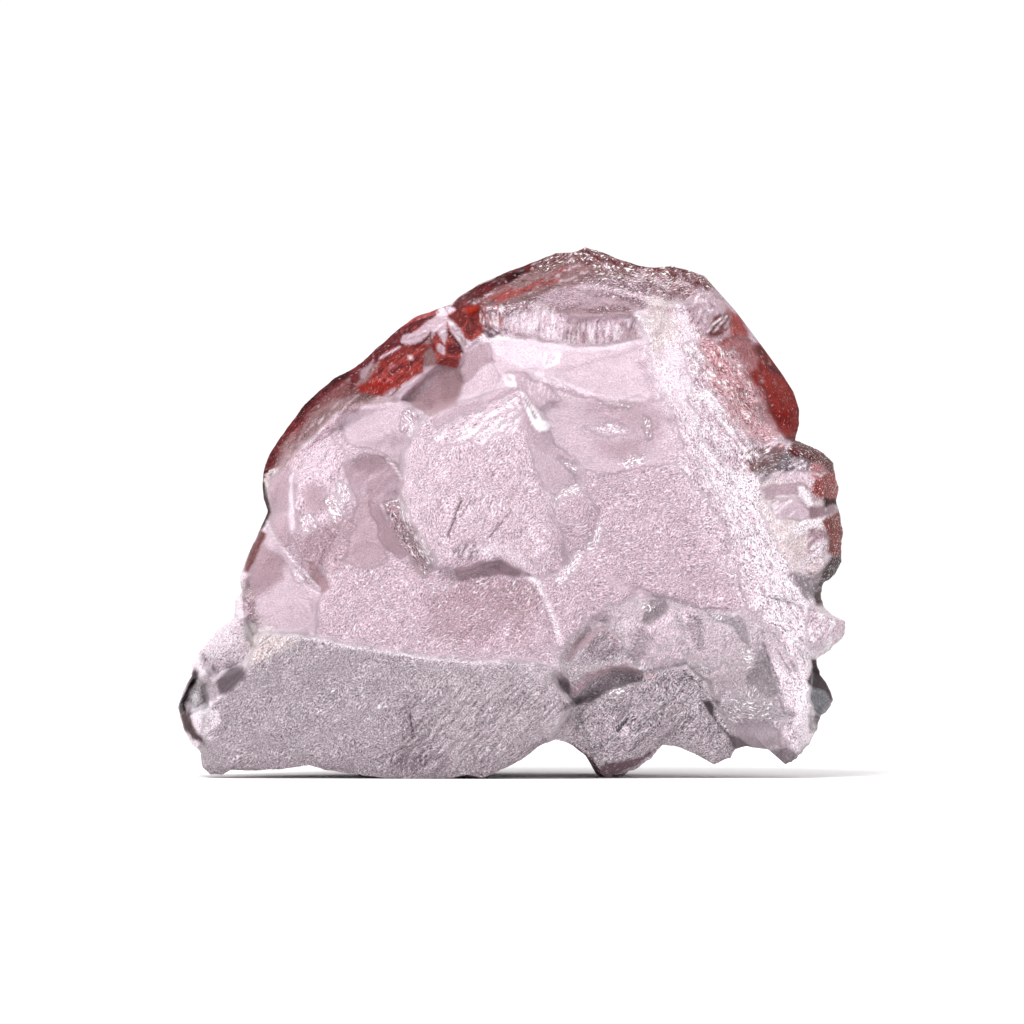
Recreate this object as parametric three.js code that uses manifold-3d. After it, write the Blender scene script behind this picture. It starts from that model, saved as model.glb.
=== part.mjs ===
// Red quartz: a palm-size piece of rough crystal, broken open at the front.
//
// The front (towards -Y) is a fresh break through milky quartz: flat plates, a rounded nodule, ledges and pits.
// The back, top and sides are natural crystal faces with a thin iron-red skin. The stone stands on its own flat
// underside. Millimetres, +X right, +Y away, +Z up; the origin is the bottom centre of the stone's box.

import * as THREE from "three";
import Module from "manifold-3d";

// ---- Driving dimensions, mm ----

const WIDTH = 83; // from the left corner to the tip of the right spur
const HEIGHT = 66.1; // from the underside to the peak
const BACK_REACH = 18; // from the heart of the stone to its back face
const HEART = { x: 1, y: 8, z: 32 }; // the middle that the outlines are measured from; y is behind the rim plane
const RIM_PLANE_Y = -5.9; // where the top edge of the rim lies, so that the stone is centred on its origin
const GIRDLE_DEPTH = 7; // behind the rim, the outer wall has worn down to its plain girdle
const WALL_LEAN = 0.12; // the outer wall draws in by this much for each mm towards the back
const ROLL_WIDTH = 3; // the broken face turns into the rim over this width
const BULGE_WIDTH = 6; // a swelling plate is rounded over this width from its edge
const BREAK_FORWARD = 12.5; // where no plate lies over it, the break is this far forward at BREAK_LEVEL,
const BREAK_LEVEL = 15;
const BREAK_LEAN = 0.17; // and falls back by this much for each mm further up
const LUMP_HEIGHT = 0.22; // unevenness of the break
const LUMP_SPACING = 5.5;

// How finely the faceted solid follows the stone, mm.
const RIM_STEP = 2.2;
const EDGE_STEP = 2.4;
const NET_STEP = 4.2;
const LEAST_GAP = 0.75;

// ---- The rim: where the broken face meets the outer skin ----
// [x, z, how far forward of the rim plane], counter-clockwise as seen from the front, from the right lobe up.

const rim = [
  // right lobe, up to the notch under the red face
  [41.2, 26.8, 1], [41.4, 30.5, 0.5], [41.1, 32.4, 0.5], [40.5, 34.5, 1], [40.9, 35.8, 0.5], [40.5, 37.2, 1],
  [40.2, 39.2, 1], [39, 40.4, 1.5], [37.1, 41.4, 2], [35.4, 42, 1],
  // red face and shoulder, up to the peak
  [35.9, 43.8, 0], [35.9, 45.8, 0], [35.2, 48, 0], [33.8, 50.2, 0], [31.5, 53.4, 0], [27.9, 58.2, 0],
  [25.2, 61.2, 0], [24, 62.6, 0], [22.2, 63.2, 0], [20, 63.8, 0], [18, 63.6, 0], [15.8, 63.9, 0],
  [13.5, 64.6, 0], [11.2, 65.6, 0], [9.2, HEIGHT, 0],
  // roof and the long upper left edge, down to the left corner of the lobe
  [7.5, 65.5, 0], [5.5, 65.4, 0], [2.5, 64.2, 0], [-0.8, 63, 0], [-4, 61.6, 0], [-6.2, 60.2, 0], [-7.8, 59, 1],
  [-9.8, 58.2, 0], [-12.2, 57.4, 0], [-14.1, 56, 0], [-16.4, 54, 0], [-18.6, 51.9, 0], [-20.2, 50.8, 0],
  [-22.2, 49.8, 0], [-24.2, 48.1, 0], [-26, 46.4, 0], [-27.5, 44.4, 0], [-29.1, 42.2, 0], [-30.4, 40.1, 0.5],
  [-31, 38.4, 1], [-31.2, 36.5, 1], [-31, 34.5, 1], [-30.5, 33.1, 1], [-31.2, 31.5, 1],
  // left side, out to the crumbs and the left corner
  [-32.4, 28.9, 1.5], [-33.4, 26.6, 2], [-34, 24.9, 2.5], [-33.8, 23, 3], [-34.5, 22, 4], [-34.6, 19.8, 6],
  [-36.6, 18.4, 7], [-38.6, 16, 6], [-39.9, 14.1, 4], [-40.1, 12.4, 2], [-41.2, 10.6, 1], [-41.8, 8.5, 1],
  [-41.1, 6, 2], [-40.2, 4.2, 4], [-38.8, 3.2, 7.5], [-38.5, 1.4, 8.5],
  // underside of the foot
  [-37.5, 0.4, 9], [-35.9, 0.4, 9.5], [-34.9, 1, 10], [-32, 0.9, 10.5], [-28.5, 1.1, 11], [-25.1, 1.6, 11.5],
  [-23.1, 1, 11.5], [-18.8, 0.4, 12], [-14, -0.1, 12.5], [-8, -0.1, 13], [-5.5, 0.5, 13.5], [-3.6, 0.1, 13.5],
  [-1.6, 0.9, 13.5], [1, 2.2, 13.5], [3.6, 4.1, 13.5], [5.5, 4.8, 13],
  // underside of the dark block and of the clear one
  [7.5, 4.1, 12.5], [10, 2, 11.5], [10.6, 0.9, 11], [11.8, -0.1, 10], [15.5, 1.1, 10], [17.4, 2.5, 10.5],
  [18.6, 4.1, 11], [20.5, 3.9, 11], [23.4, 2.6, 10], [25.1, 1.6, 10], [27.2, 2.4, 10], [27.6, 3.5, 10],
  [29.2, 3.8, 10], [31.8, 3.5, 10], [34, 1.6, 10], [35.6, 2.5, 10], [37.1, 4.1, 7],
  // grey crystal, spur and the waist under the right lobe
  [38.2, 6, 4], [38.5, 7.5, 3], [39.6, 8.2, 2], [40.2, 9.4, 1], [39.8, 10.9, 1.5], [38.6, 12.6, 3],
  [37.9, 14.6, 6], [40, 16.1, 7.5], [WIDTH / 2, 17.8, 8], [WIDTH / 2, 19.4, 8], [40, 20.1, 8],
  [38.8, 21.2, 6], [38.5, 22.8, 4], [39, 24.1, 3], [40.4, 25.2, 2],
];

// ---- The girdle: the plainer outline of the stone behind its rim ----
// Its lowest stretches lie just under zero, where the underside is levelled.

const girdle = [
  [40, 30], [39, 39], [34.6, 42.6], [34, 48], [25, 60.3], [20, 62.4], [9, 64.4], [0, 62], [-9, 57.4],
  [-19, 50.4], [-27, 42.8], [-29.6, 37], [-30, 32], [-33, 22.5], [-37.2, 16], [-40.4, 9], [-38.6, 4.5],
  [-34, 1.4], [-24, 1.8], [-19, -0.4], [-3.5, -0.4], [0.5, 2.4], [3.5, 5], [7.5, 5], [11, -0.3], [13.5, -0.3],
  [18.4, 5.2], [27, 4.6], [33.5, 4], [36.4, 6], [37.5, 12], [37, 20], [38, 25],
];

// ---- Natural faces: which way each looks, and how far it lies from the heart ----

const naturalFaces = [
  { looks: [0.12, 1, 0.3], distance: BACK_REACH }, // back
  { looks: [-0.15, 0.75, 1], distance: 23 }, // upper back
  { looks: [-0.8, 0.8, 0.7], distance: 23 }, // upper left
  { looks: [-1, 0.95, -0.1], distance: 28 }, // left
  { looks: [1, 0.8, 0.25], distance: 27 }, // right
  { looks: [0.75, 0.7, 0.8], distance: 28.8 }, // upper right
  { looks: [0.1, 0.9, -0.6], distance: 22.5 }, // lower back
  { looks: [0.8, 0.8, -0.6], distance: 26.5 }, // lower right
  { looks: [-0.7, 1, -0.5], distance: 26 }, // lower left
  { looks: [0.2, 0.35, 1], distance: 31 }, // narrow face behind the peak
  { looks: [-0.35, 0.3, 1], distance: 27.2 }, // long narrow face along the upper left edge
];

// ---- The plates of the broken face, each broken over the ones before it ----
// at: a point [x, z] of the plate, and forward: how far it lies in front of the rim plane there;
// right and up: how much further forward it comes for each mm that way; bulge: how far its middle swells.

const plates = [
  {
    name: "roof", at: [9.5, 61], forward: 2, right: 0, up: -0.4, bulge: 0, edge: 1.5,
    outline: [[-5, 61], [10, 67], [24.5, 63], [26, 59.5], [23.5, 54.5], [16, 57.5], [8.5, 57.5], [-4, 58.5]],
  },
  {
    name: "skin band", at: [-20, 47], forward: 2.6, right: 0.24, up: -0.22, bulge: 0, edge: 1.5,
    outline: [
      [-32, 38], [-28, 45], [-14, 57], [-9, 59], [-5, 57.5], [-6, 53], [-9, 52], [-11.5, 50], [-14.5, 47],
      [-21, 46.5], [-26.5, 41], [-30, 37],
    ],
  },
  {
    name: "star chip", at: [-8.6, 57.2], forward: 3.6, right: 0.2, up: -0.1, bulge: 0.6, edge: 0.8,
    outline: [[-9, 59], [-7.5, 57], [-5.5, 53.5], [-8, 54.5], [-9, 52.5], [-10, 55], [-14, 54.5], [-10.5, 57.5]],
  },
  {
    name: "striated face", at: [6, 56.5], forward: 3.8, right: 0, up: -0.12, bulge: 0, edge: 0.8,
    outline: [
      [-5, 57], [-4, 58.5], [1, 59], [8.5, 57.5], [15, 57.5], [17, 55], [16, 54.5], [11, 53.5], [6, 54],
      [1, 54.5], [-3, 55],
    ],
  },
  {
    name: "upper plate", at: [5.5, 50.5], forward: 7.5, right: -0.02, up: -0.5, bulge: 0, edge: 0.9,
    outline: [
      [-7, 45.5], [-6, 49], [-6.5, 51], [-6, 53], [-4, 54], [1, 54.5], [6, 54], [11, 53.5], [16, 54.5],
      [17, 54], [18, 51], [18.5, 46], [11.5, 46], [4, 48],
    ],
  },
  {
    name: "upper plate's left facet", at: [-4, 51.5], forward: 6.4, right: 0.35, up: -0.35, bulge: 0, edge: 0.9,
    outline: [[-7, 46], [-6, 49], [-6.5, 51], [-6, 53], [-4, 54], [-3, 53], [-1.5, 50], [-2, 48]],
  },
  {
    name: "cave", at: [-10, 48], forward: 3.2, right: 0.15, up: -0.15, bulge: -1.2, edge: 1.2,
    outline: [[-14, 47], [-11, 50.5], [-8, 52], [-6.5, 51], [-6, 49], [-7, 46.5], [-10, 45], [-12, 46]],
  },
  {
    name: "left lobe", at: [-21.5, 38], forward: 7, right: 0.18, up: -0.22, bulge: 1.6, edge: 1.6,
    outline: [
      [-30.5, 32], [-30, 35], [-29.5, 38], [-26.5, 41], [-23, 43.5], [-19, 45.5], [-15, 47], [-14, 47],
      [-12.5, 46], [-11, 44.5], [-12, 38], [-12, 34], [-11, 27], [-17.5, 27], [-22, 26.5], [-23, 23],
      [-25.5, 24], [-27.5, 27], [-29, 29],
    ],
  },
  {
    name: "left valley", at: [-17, 37], forward: 6, right: 0.05, up: -0.1, bulge: -0.6, edge: 1.8,
    outline: [[-22, 40], [-18, 41.5], [-14, 41], [-12, 38], [-12, 34], [-15, 33], [-19, 34.5], [-22.5, 37]],
  },
  {
    name: "cone", at: [-18.3, 29.5], forward: 9.2, right: 0.2, up: -0.45, bulge: 0.8, edge: 1,
    outline: [[-18.4, 34.5], [-21, 31], [-23, 27], [-18, 26.5], [-13.5, 26.5], [-13.8, 29], [-16.5, 32.5]],
  },
  {
    name: "pink patch", at: [-24, 19], forward: 12.4, right: 0.36, up: -0.3, bulge: 0, edge: 1.2,
    outline: [
      [-33.5, 22], [-33, 26], [-32, 28.5], [-30.5, 31.5], [-29, 29], [-27, 26], [-25, 23.5], [-23, 23],
      [-20, 22], [-20, 17], [-26.5, 17], [-31, 17.5], [-33, 19.5],
    ],
  },
  {
    name: "slope under the nodule", at: [-5, 20], forward: 14, right: 0.08, up: -0.62, bulge: 0, edge: 1.4,
    outline: [
      [-24, 17], [-24, 22.5], [-22.5, 27], [-14, 28.5], [-12, 30.5], [-5, 27], [4, 27], [6, 21], [7.5, 17.5],
      [7, 12.5], [-4, 13.5], [-16, 15.5],
    ],
  },
  {
    name: "clear block", at: [30, 9], forward: 11.8, right: -0.12, up: 0.1, bulge: 0.5, edge: 1,
    outline: [
      [24, 14], [27.5, 13.5], [30, 16.5], [32, 15], [34, 11], [35, 7], [37, 4], [36.5, 1], [26, 0], [25, 9],
    ],
  },
  {
    name: "dark block", at: [16, 8], forward: 13, right: -0.03, up: 0.26, bulge: 0.4, edge: 1,
    outline: [
      [5, 8], [7.5, 9], [11, 11.5], [16, 13], [21.5, 14], [24, 12], [25.5, 9], [27, 6], [28, 3.5], [28, 0],
      [5, -1],
    ],
  },
  {
    name: "foot", at: [-16.5, 8], forward: 15, right: 0.11, up: 0.28, bulge: 0, edge: 1,
    outline: [
      [-40, -1], [-39, 3.5], [-38.3, 8], [-36, 10], [-33, 13.5], [-31, 18], [-28.5, 18.2], [-24, 17.5],
      [-20, 17], [-16, 16.2], [-10, 15.2], [-4, 14.7], [2, 14.6], [5, 14], [5.5, 11.5], [7.8, 9.6], [6, 7.5],
      [5, 5], [3, 2.5], [-1, -1],
    ],
  },
  {
    name: "nodule", at: [-2.5, 36], forward: 13.4, right: 0, up: -0.02, bulge: 1.5, edge: 1.1,
    outline: [
      [-14, 34.5], [-13.5, 38], [-13, 42], [-11.5, 44], [-9, 45.5], [-4, 47], [0, 48.7], [1.4, 48.6],
      [2.3, 46.6], [4.5, 43.5], [6, 40.5], [8.3, 38], [8.5, 36], [5.5, 35], [5, 32.5], [6.5, 29.5],
      [6, 25.5], [3, 24.5], [0.5, 26], [-2, 27], [-4, 26.6], [-6.5, 25.5], [-9, 26], [-10.5, 28], [-12, 30],
      [-13.3, 32],
    ],
  },
  {
    name: "nodule's streaked cap", at: [-3.5, 44.5], forward: 13, right: 0.05, up: -0.42, bulge: 0, edge: 1,
    outline: [[-12.5, 42.5], [-9, 45.7], [-4, 47.2], [0, 49], [1.4, 48.6], [2, 46.5], [-1, 43], [-7, 41.5]],
  },
  {
    name: "nodule's right facet", at: [4.5, 40], forward: 12.4, right: -0.4, up: 0.06, bulge: 0, edge: 0.8,
    outline: [[1.3, 48.5], [2.3, 46.6], [4.5, 43.5], [8.3, 38.5], [8.5, 36.3], [5.5, 35], [3.5, 37], [2, 42]],
  },
  {
    name: "scoop", at: [11, 43], forward: 9.8, right: 0.05, up: -0.22, bulge: -0.9, edge: 1,
    outline: [
      [2.6, 48], [3.8, 48.9], [7.5, 48], [11.5, 47], [16, 47], [18, 46.5], [17.5, 41], [16, 38], [11, 37],
      [8.8, 38], [6.2, 41], [4.6, 43.8],
    ],
  },
  {
    name: "shoulder", at: [16, 30], forward: 12.4, right: -0.05, up: -0.12, bulge: 0.8, edge: 1.1,
    outline: [
      [5.2, 32.5], [5.7, 35], [8.8, 36.2], [9, 38.2], [11, 37.6], [16, 38.5], [19, 39], [21.5, 38], [26, 32],
      [30, 23], [30, 19.5], [24, 20], [19, 21.6], [16, 22.6], [14.5, 21.2], [13.5, 19.5], [11, 19], [9, 17],
      [7, 14], [5, 17], [4, 22], [3.4, 24.4], [6.2, 25.4], [6.8, 29.5],
    ],
  },
  {
    name: "step of the shoulder", at: [7.5, 31], forward: 12.6, right: -0.25, up: 0.1, bulge: 0.7, edge: 0.8,
    outline: [[5.2, 32.5], [5.7, 35], [9, 36], [10.5, 33], [10, 28.5], [6.8, 26], [6.8, 29.5]],
  },
  {
    name: "clear lumps", at: [22, 17.5], forward: 13.6, right: -0.06, up: 0, bulge: 1.3, edge: 1.1,
    outline: [
      [16, 23], [19, 22], [24, 20.5], [29, 20], [30.5, 16.5], [29, 14.5], [27.5, 13.2], [24, 13.6],
      [21.5, 14.6], [16, 13.2], [12, 13.2], [11, 14.8], [13.5, 19.5],
    ],
  },
  {
    name: "arched step", at: [10.5, 15.5], forward: 15.2, right: -0.1, up: 0.1, bulge: 0.6, edge: 0.8,
    outline: [[6.5, 14], [9, 17.3], [11, 19.2], [14.2, 17], [15.3, 13.6], [12.5, 13.4], [9.6, 12], [7.2, 10]],
  },
  {
    name: "hollow under the lumps", at: [12, 11.8], forward: 10.6, right: 0, up: 0, bulge: -0.8, edge: 0.9,
    outline: [[7.5, 9.4], [9.5, 12], [12.5, 13.4], [16, 13.2], [16, 12], [12, 11], [10, 9.8]],
  },
  {
    name: "vein", at: [27, 34], forward: 11, right: -0.16, up: -0.13, bulge: 1.1, edge: 1.6,
    outline: [
      [17, 58.5], [19, 59.5], [22.5, 59], [24.5, 55.5], [26.5, 50.5], [29, 44.5], [31.5, 38], [34, 31],
      [36.5, 23], [39, 21.5], [43, 20], [43, 17], [37.5, 14], [37.4, 11], [37, 6], [36, 1], [34.4, 1],
      [34, 5], [33, 11], [31.5, 15], [29.5, 21], [27, 27], [24, 34.5], [20.5, 40.5], [18.5, 47], [17, 54],
    ],
  },
  {
    name: "red face", at: [31, 49], forward: 4.2, right: -0.5, up: -0.1, bulge: 0.3, edge: 1.2,
    outline: [
      [24.5, 60], [29, 60], [33, 54], [37, 48], [37, 42], [33, 43], [30, 46.5], [28, 51], [25.5, 56],
    ],
  },
  {
    name: "right lobe", at: [35.5, 33], forward: 6.6, right: -0.4, up: -0.04, bulge: 1.1, edge: 1.3,
    outline: [[31, 39], [33, 41], [36, 42.6], [40, 42], [42, 38], [43, 29.5], [42, 25], [37, 23], [34, 31]],
  },
  {
    name: "grey crystal", at: [38.5, 10], forward: 3, right: -0.4, up: 0.2, bulge: 0.2, edge: 0.7,
    outline: [[37.3, 14.4], [38.4, 14.6], [42, 9.5], [39, 5], [37.6, 4.6], [37.4, 9.5]],
  },
  {
    name: "white crumb", at: [-35.4, 16], forward: 9, right: 0.3, up: 0, bulge: 1.2, edge: 0.8,
    outline: [[-38.8, 16], [-37, 18.4], [-34.5, 20.4], [-33, 19.4], [-32, 16], [-34, 13.6], [-36, 12.6], [-38, 14]],
  },
  {
    name: "small crumb", at: [-39.2, 10], forward: 4.4, right: 0.3, up: 0, bulge: 0.9, edge: 0.7,
    outline: [[-41, 10], [-39.4, 12.2], [-38, 11.6], [-37.8, 9], [-40, 7.8]],
  },
];

// ---- Small helpers ----

const clamp01 = (value) => Math.min(1, Math.max(0, value));
const smooth = (value) => {
  const share = clamp01(value);
  return share * share * (3 - 2 * share);
};
const mix = (from, to, share) => from + (to - from) * share;
const around = (list, index) => list[(index + list.length) % list.length];

/** Distance in mm from (x, z) to a closed outline: more than 0 inside it, less than 0 outside. */
function insideDistance(outline, x, z) {
  let nearest = Infinity;
  let inside = false;
  outline.forEach(([x0, z0], index) => {
    const [x1, z1] = around(outline, index + 1);
    const along = clamp01(((x - x0) * (x1 - x0) + (z - z0) * (z1 - z0)) / ((x1 - x0) ** 2 + (z1 - z0) ** 2));
    nearest = Math.min(nearest, Math.hypot(x - mix(x0, x1, along), z - mix(z0, z1, along)));
    if (z0 > z !== z1 > z && x < mix(x0, x1, (z - z0) / (z1 - z0))) {
      inside = !inside;
    }
  });
  return inside ? nearest : -nearest;
}

/** Where the ray from the heart through (x, z) meets an outline: how far out, and the third value there. */
function onOutline(outline, x, z) {
  const radius = Math.hypot(x - HEART.x, z - HEART.z);
  const [dx, dz] = [(x - HEART.x) / radius, (z - HEART.z) / radius];
  for (let index = 0; index < outline.length; index += 1) {
    const [x0, z0, third0] = outline[index];
    const [x1, z1, third1] = around(outline, index + 1);
    const cross = dx * (z1 - z0) - dz * (x1 - x0);
    const reach = ((x0 - HEART.x) * (z1 - z0) - (z0 - HEART.z) * (x1 - x0)) / cross;
    const along = ((x0 - HEART.x) * dz - (z0 - HEART.z) * dx) / cross;
    if (reach > 0 && along > -1e-9 && along < 1 + 1e-9) {
      return { radius, reach, dx, dz, third: mix(third0, third1, along) };
    }
  }
  throw new Error("the heart lies outside the outline");
}

/** An outline's corners, with even steps of at most `step` mm between them. */
function stepped(outline, step) {
  return outline.flatMap((from, index) => {
    const to = around(outline, index + 1);
    const count = Math.ceil(Math.hypot(to[0] - from[0], to[1] - from[1]) / step);
    return Array.from({ length: count }, (_, part) => from.map((value, k) => mix(value, to[k], part / count)));
  });
}

/** Unevenness from three crossing sets of waves: -1 to 1, about LUMP_SPACING apart. */
function lumps(x, z) {
  const turn = (2 * Math.PI) / LUMP_SPACING;
  const first = Math.sin(turn * (0.8 * x + 0.5 * z) + 1.7 * Math.sin(0.3 * z));
  const second = Math.sin(turn * (0.3 * x - 0.9 * z) + 1.4 * Math.sin(0.35 * x + 1));
  const third = Math.sin(turn * (0.5 * z - 0.3 * x) + 2);
  return (first + second + third) / 3;
}

// ---- The broken face ----

/** How far the break comes forward: each plate in turn takes over inside its outline. */
function brokenDepth(x, z) {
  let forward = BREAK_FORWARD - BREAK_LEAN * (z - BREAK_LEVEL);
  for (const plate of plates) {
    const depthInside = insideDistance(plate.outline, x, z);
    const share = smooth(depthInside / plate.edge + 0.5);
    if (share > 0) {
      const swell = plate.bulge * (1 - (1 - clamp01(depthInside / BULGE_WIDTH)) ** 2);
      const plane = plate.forward + plate.right * (x - plate.at[0]) + plate.up * (z - plate.at[1]);
      forward = mix(forward, plane + swell, share);
    }
  }
  return forward + LUMP_HEIGHT * lumps(x, z);
}

/** The points that show the break: both sides of each plate's open edge, the roll to the rim, and a loose net. */
function breakPoints() {
  const chosen = [];
  const add = (x, z, gap) => {
    const place = onOutline(rim, x, z);
    const crowded = chosen.some((point) => Math.hypot(point.x - x, point.z - z) < gap);
    if (place.reach - place.radius > LEAST_GAP && !crowded) {
      const roll = 1 - (1 - clamp01((place.reach - place.radius) / ROLL_WIDTH)) ** 2;
      const ring = place.radius / place.reach;
      const forward = mix(place.third, brokenDepth(x, z), roll);
      chosen.push({ x, y: -forward, z, u: ring * place.dx, v: ring * place.dz });
    }
  };
  plates.forEach((plate, order) => {
    const line = stepped(plate.outline, EDGE_STEP);
    const later = plates.slice(order + 1);
    line.forEach(([x, z], index) => {
      const [x0, z0] = around(line, index - 1);
      const [x1, z1] = around(line, index + 1);
      const half = plate.edge / 2 / Math.hypot(x1 - x0, z1 - z0);
      if (!later.some((other) => insideDistance(other.outline, x, z) > other.edge / 2)) {
        add(x + (z1 - z0) * half, z - (x1 - x0) * half, LEAST_GAP);
        add(x - (z1 - z0) * half, z + (x1 - x0) * half, LEAST_GAP);
      }
    });
  });
  for (const [x, z] of stepped(rim, RIM_STEP)) {
    const place = onOutline(rim, x, z);
    for (const inward of [ROLL_WIDTH / 3, ROLL_WIDTH]) {
      add(x - place.dx * inward, z - place.dz * inward, RIM_STEP / 2);
    }
  }
  for (let x = -WIDTH / 2; x < WIDTH / 2; x += NET_STEP) {
    for (let z = 1; z < HEIGHT; z += NET_STEP) {
      const stagger = NET_STEP * 0.25 * Math.sin(2.3 * x);
      if (insideDistance(rim, x, z + stagger) > LEAST_GAP) {
        add(x + 0.4 * Math.sin(z), z + stagger, NET_STEP / 2);
      }
    }
  }
  return chosen;
}

/** Whether a point lies in the circle through a triangle's corners, which run counter-clockwise. */
function inCircle(corners, point) {
  const [a, b, c] = corners.map(({ u, v }) => {
    const [du, dv] = [u - point.u, v - point.v];
    return [du, dv, du * du + dv * dv];
  });
  const minor = (p, q) => p[0] * q[1] - p[1] * q[0];
  return a[2] * minor(b, c) + b[2] * minor(c, a) + c[2] * minor(a, b) > 0;
}

/** Evenly shaped (Delaunay) triangles in the unit disc. The first point is its middle, and the next `edgeCount`
 * run round its edge. Each further point opens the triangles whose circle holds it, and closes the hole again. */
function triangulate(points, edgeCount) {
  let triangles = Array.from({ length: edgeCount }, (_, k) => [0, 1 + k, 1 + ((k + 1) % edgeCount)]);
  for (let added = 1 + edgeCount; added < points.length; added += 1) {
    const border = new Map();
    triangles = triangles.filter((triangle) => {
      if (!inCircle(triangle.map((index) => points[index]), points[added])) {
        return true;
      }
      triangle.forEach((from, k) => {
        const to = around(triangle, k + 1);
        if (!border.delete(`${to} ${from}`)) {
          border.set(`${from} ${to}`, [from, to, added]);
        }
      });
      return false;
    });
    triangles.push(...border.values());
  }
  return triangles;
}

// ---- The outer wall ----

/** A point of the outer wall, on the ray through a rim point and so far behind the rim. */
function wallPoint([x, z, forward], behindRim) {
  const atRim = onOutline(rim, x, z);
  const atGirdle = onOutline(girdle, x, z);
  const worn = smooth(behindRim / GIRDLE_DEPTH);
  const lean = WALL_LEAN * clamp01(0.75 + atRim.dz);
  const reach = mix(atRim.radius, atGirdle.reach, worn) - lean * behindRim;
  return { x: HEART.x + atRim.dx * reach, y: behindRim - forward, z: HEART.z + atRim.dz * reach };
}

// ---- The whole stone ----

/** The break, the wall and a plain end as one closed mesh, before the natural faces cut it. */
function blankMesh(wasm) {
  const rimLine = stepped(rim, RIM_STEP);
  const count = rimLine.length;
  const heart = { x: HEART.x, y: -brokenDepth(HEART.x, HEART.z), z: HEART.z, u: 0, v: 0 };
  const edge = rimLine.map((corner) => {
    const { dx, dz } = onOutline(rim, corner[0], corner[1]);
    return { ...wallPoint(corner, 0), u: dx, v: dz };
  });
  const points = [heart, ...edge, ...breakPoints()];
  const triangles = triangulate(points, count);
  let ring = 1;
  for (const behindRim of [GIRDLE_DEPTH * 0.4, GIRDLE_DEPTH, 3 * BACK_REACH]) {
    const next = points.length;
    points.push(...rimLine.map((corner) => wallPoint(corner, behindRim)));
    for (let k = 0; k < count; k += 1) {
      const other = (k + 1) % count;
      triangles.push([ring + k, next + k, next + other], [ring + k, next + other, ring + other]);
    }
    ring = next;
  }
  const end = points.push({ x: HEART.x, y: 3 * BACK_REACH, z: HEART.z }) - 1;
  for (let k = 0; k < count; k += 1) {
    triangles.push([end, ring + ((k + 1) % count), ring + k]);
  }
  return new wasm.Mesh({
    numProp: 3,
    vertProperties: new Float32Array(points.flatMap(({ x, y, z }) => [x, y, z])),
    triVerts: new Uint32Array(triangles.flat()),
  });
}

/** The blank, cut by each natural face and levelled underneath. */
function stoneGeometry(wasm) {
  let stone = new wasm.Manifold(blankMesh(wasm));
  const heart = new THREE.Vector3(HEART.x, HEART.y, HEART.z);
  for (const face of naturalFaces) {
    const outward = new THREE.Vector3(...face.looks).normalize();
    stone = stone.trimByPlane(outward.clone().negate().toArray(), -(outward.dot(heart) + face.distance));
  }
  stone = stone.trimByPlane([0, 0, 1], 0);
  const { vertProperties, triVerts } = stone.getMesh();
  const geometry = new THREE.BufferGeometry();
  geometry.setAttribute("position", new THREE.BufferAttribute(vertProperties, 3));
  geometry.setIndex(new THREE.BufferAttribute(triVerts, 1));
  geometry.translate(0, RIM_PLANE_Y, 0);
  geometry.computeVertexNormals();
  return geometry;
}

const wasm = await Module();
wasm.setup();

const milkyQuartz = new THREE.MeshStandardMaterial({ color: "#dcc6d3", roughness: 0.45, metalness: 0 });

const group = new THREE.Group();
const stone = new THREE.Mesh(stoneGeometry(wasm), milkyQuartz);
stone.name = "red_quartz";
group.add(stone);

export default group;
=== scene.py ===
# %% [markdown]
# # A piece of red quartz, broken open
#
# Red quartz is ordinary quartz with iron oxide in it or on it. This piece broke away from a vein: its
# front is a fresh, sugary, milky-pink break, and the rest is still the grown outside, under a thin
# iron-red skin. The plain faceted stone from the CAD model is loaded first. It gives the size, the place
# and the flat underside, and everything below is made to fit it.

import bpy
import numpy as np
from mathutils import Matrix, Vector


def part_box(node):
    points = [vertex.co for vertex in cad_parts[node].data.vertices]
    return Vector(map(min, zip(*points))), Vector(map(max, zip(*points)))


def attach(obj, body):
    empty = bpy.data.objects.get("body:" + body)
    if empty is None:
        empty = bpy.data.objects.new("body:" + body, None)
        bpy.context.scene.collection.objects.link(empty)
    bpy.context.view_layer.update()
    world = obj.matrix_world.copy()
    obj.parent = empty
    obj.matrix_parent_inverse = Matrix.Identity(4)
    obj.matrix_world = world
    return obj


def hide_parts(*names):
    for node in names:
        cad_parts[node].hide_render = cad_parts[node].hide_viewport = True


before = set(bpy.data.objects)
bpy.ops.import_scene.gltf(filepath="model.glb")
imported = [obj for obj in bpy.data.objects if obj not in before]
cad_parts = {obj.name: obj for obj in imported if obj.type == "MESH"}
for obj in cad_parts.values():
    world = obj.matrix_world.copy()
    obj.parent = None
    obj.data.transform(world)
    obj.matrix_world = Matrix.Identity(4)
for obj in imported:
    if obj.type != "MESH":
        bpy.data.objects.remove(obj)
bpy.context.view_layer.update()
STONE_LOW, STONE_HIGH = (np.array(corner) * 1000 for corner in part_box("red_quartz"))
print("stone box, mm:", STONE_LOW.round(2), STONE_HIGH.round(2))

# %% [markdown]
# ## Driving sizes
#
# All shape work is done in millimetres and turned to metres once, when the mesh is made. The stone is
# described the way a drawing would do it: an outline where the break meets the skin (the rim), a plainer
# outline behind it (the girdle), flat natural faces at the back, and the plates that the break runs
# along.

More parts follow.
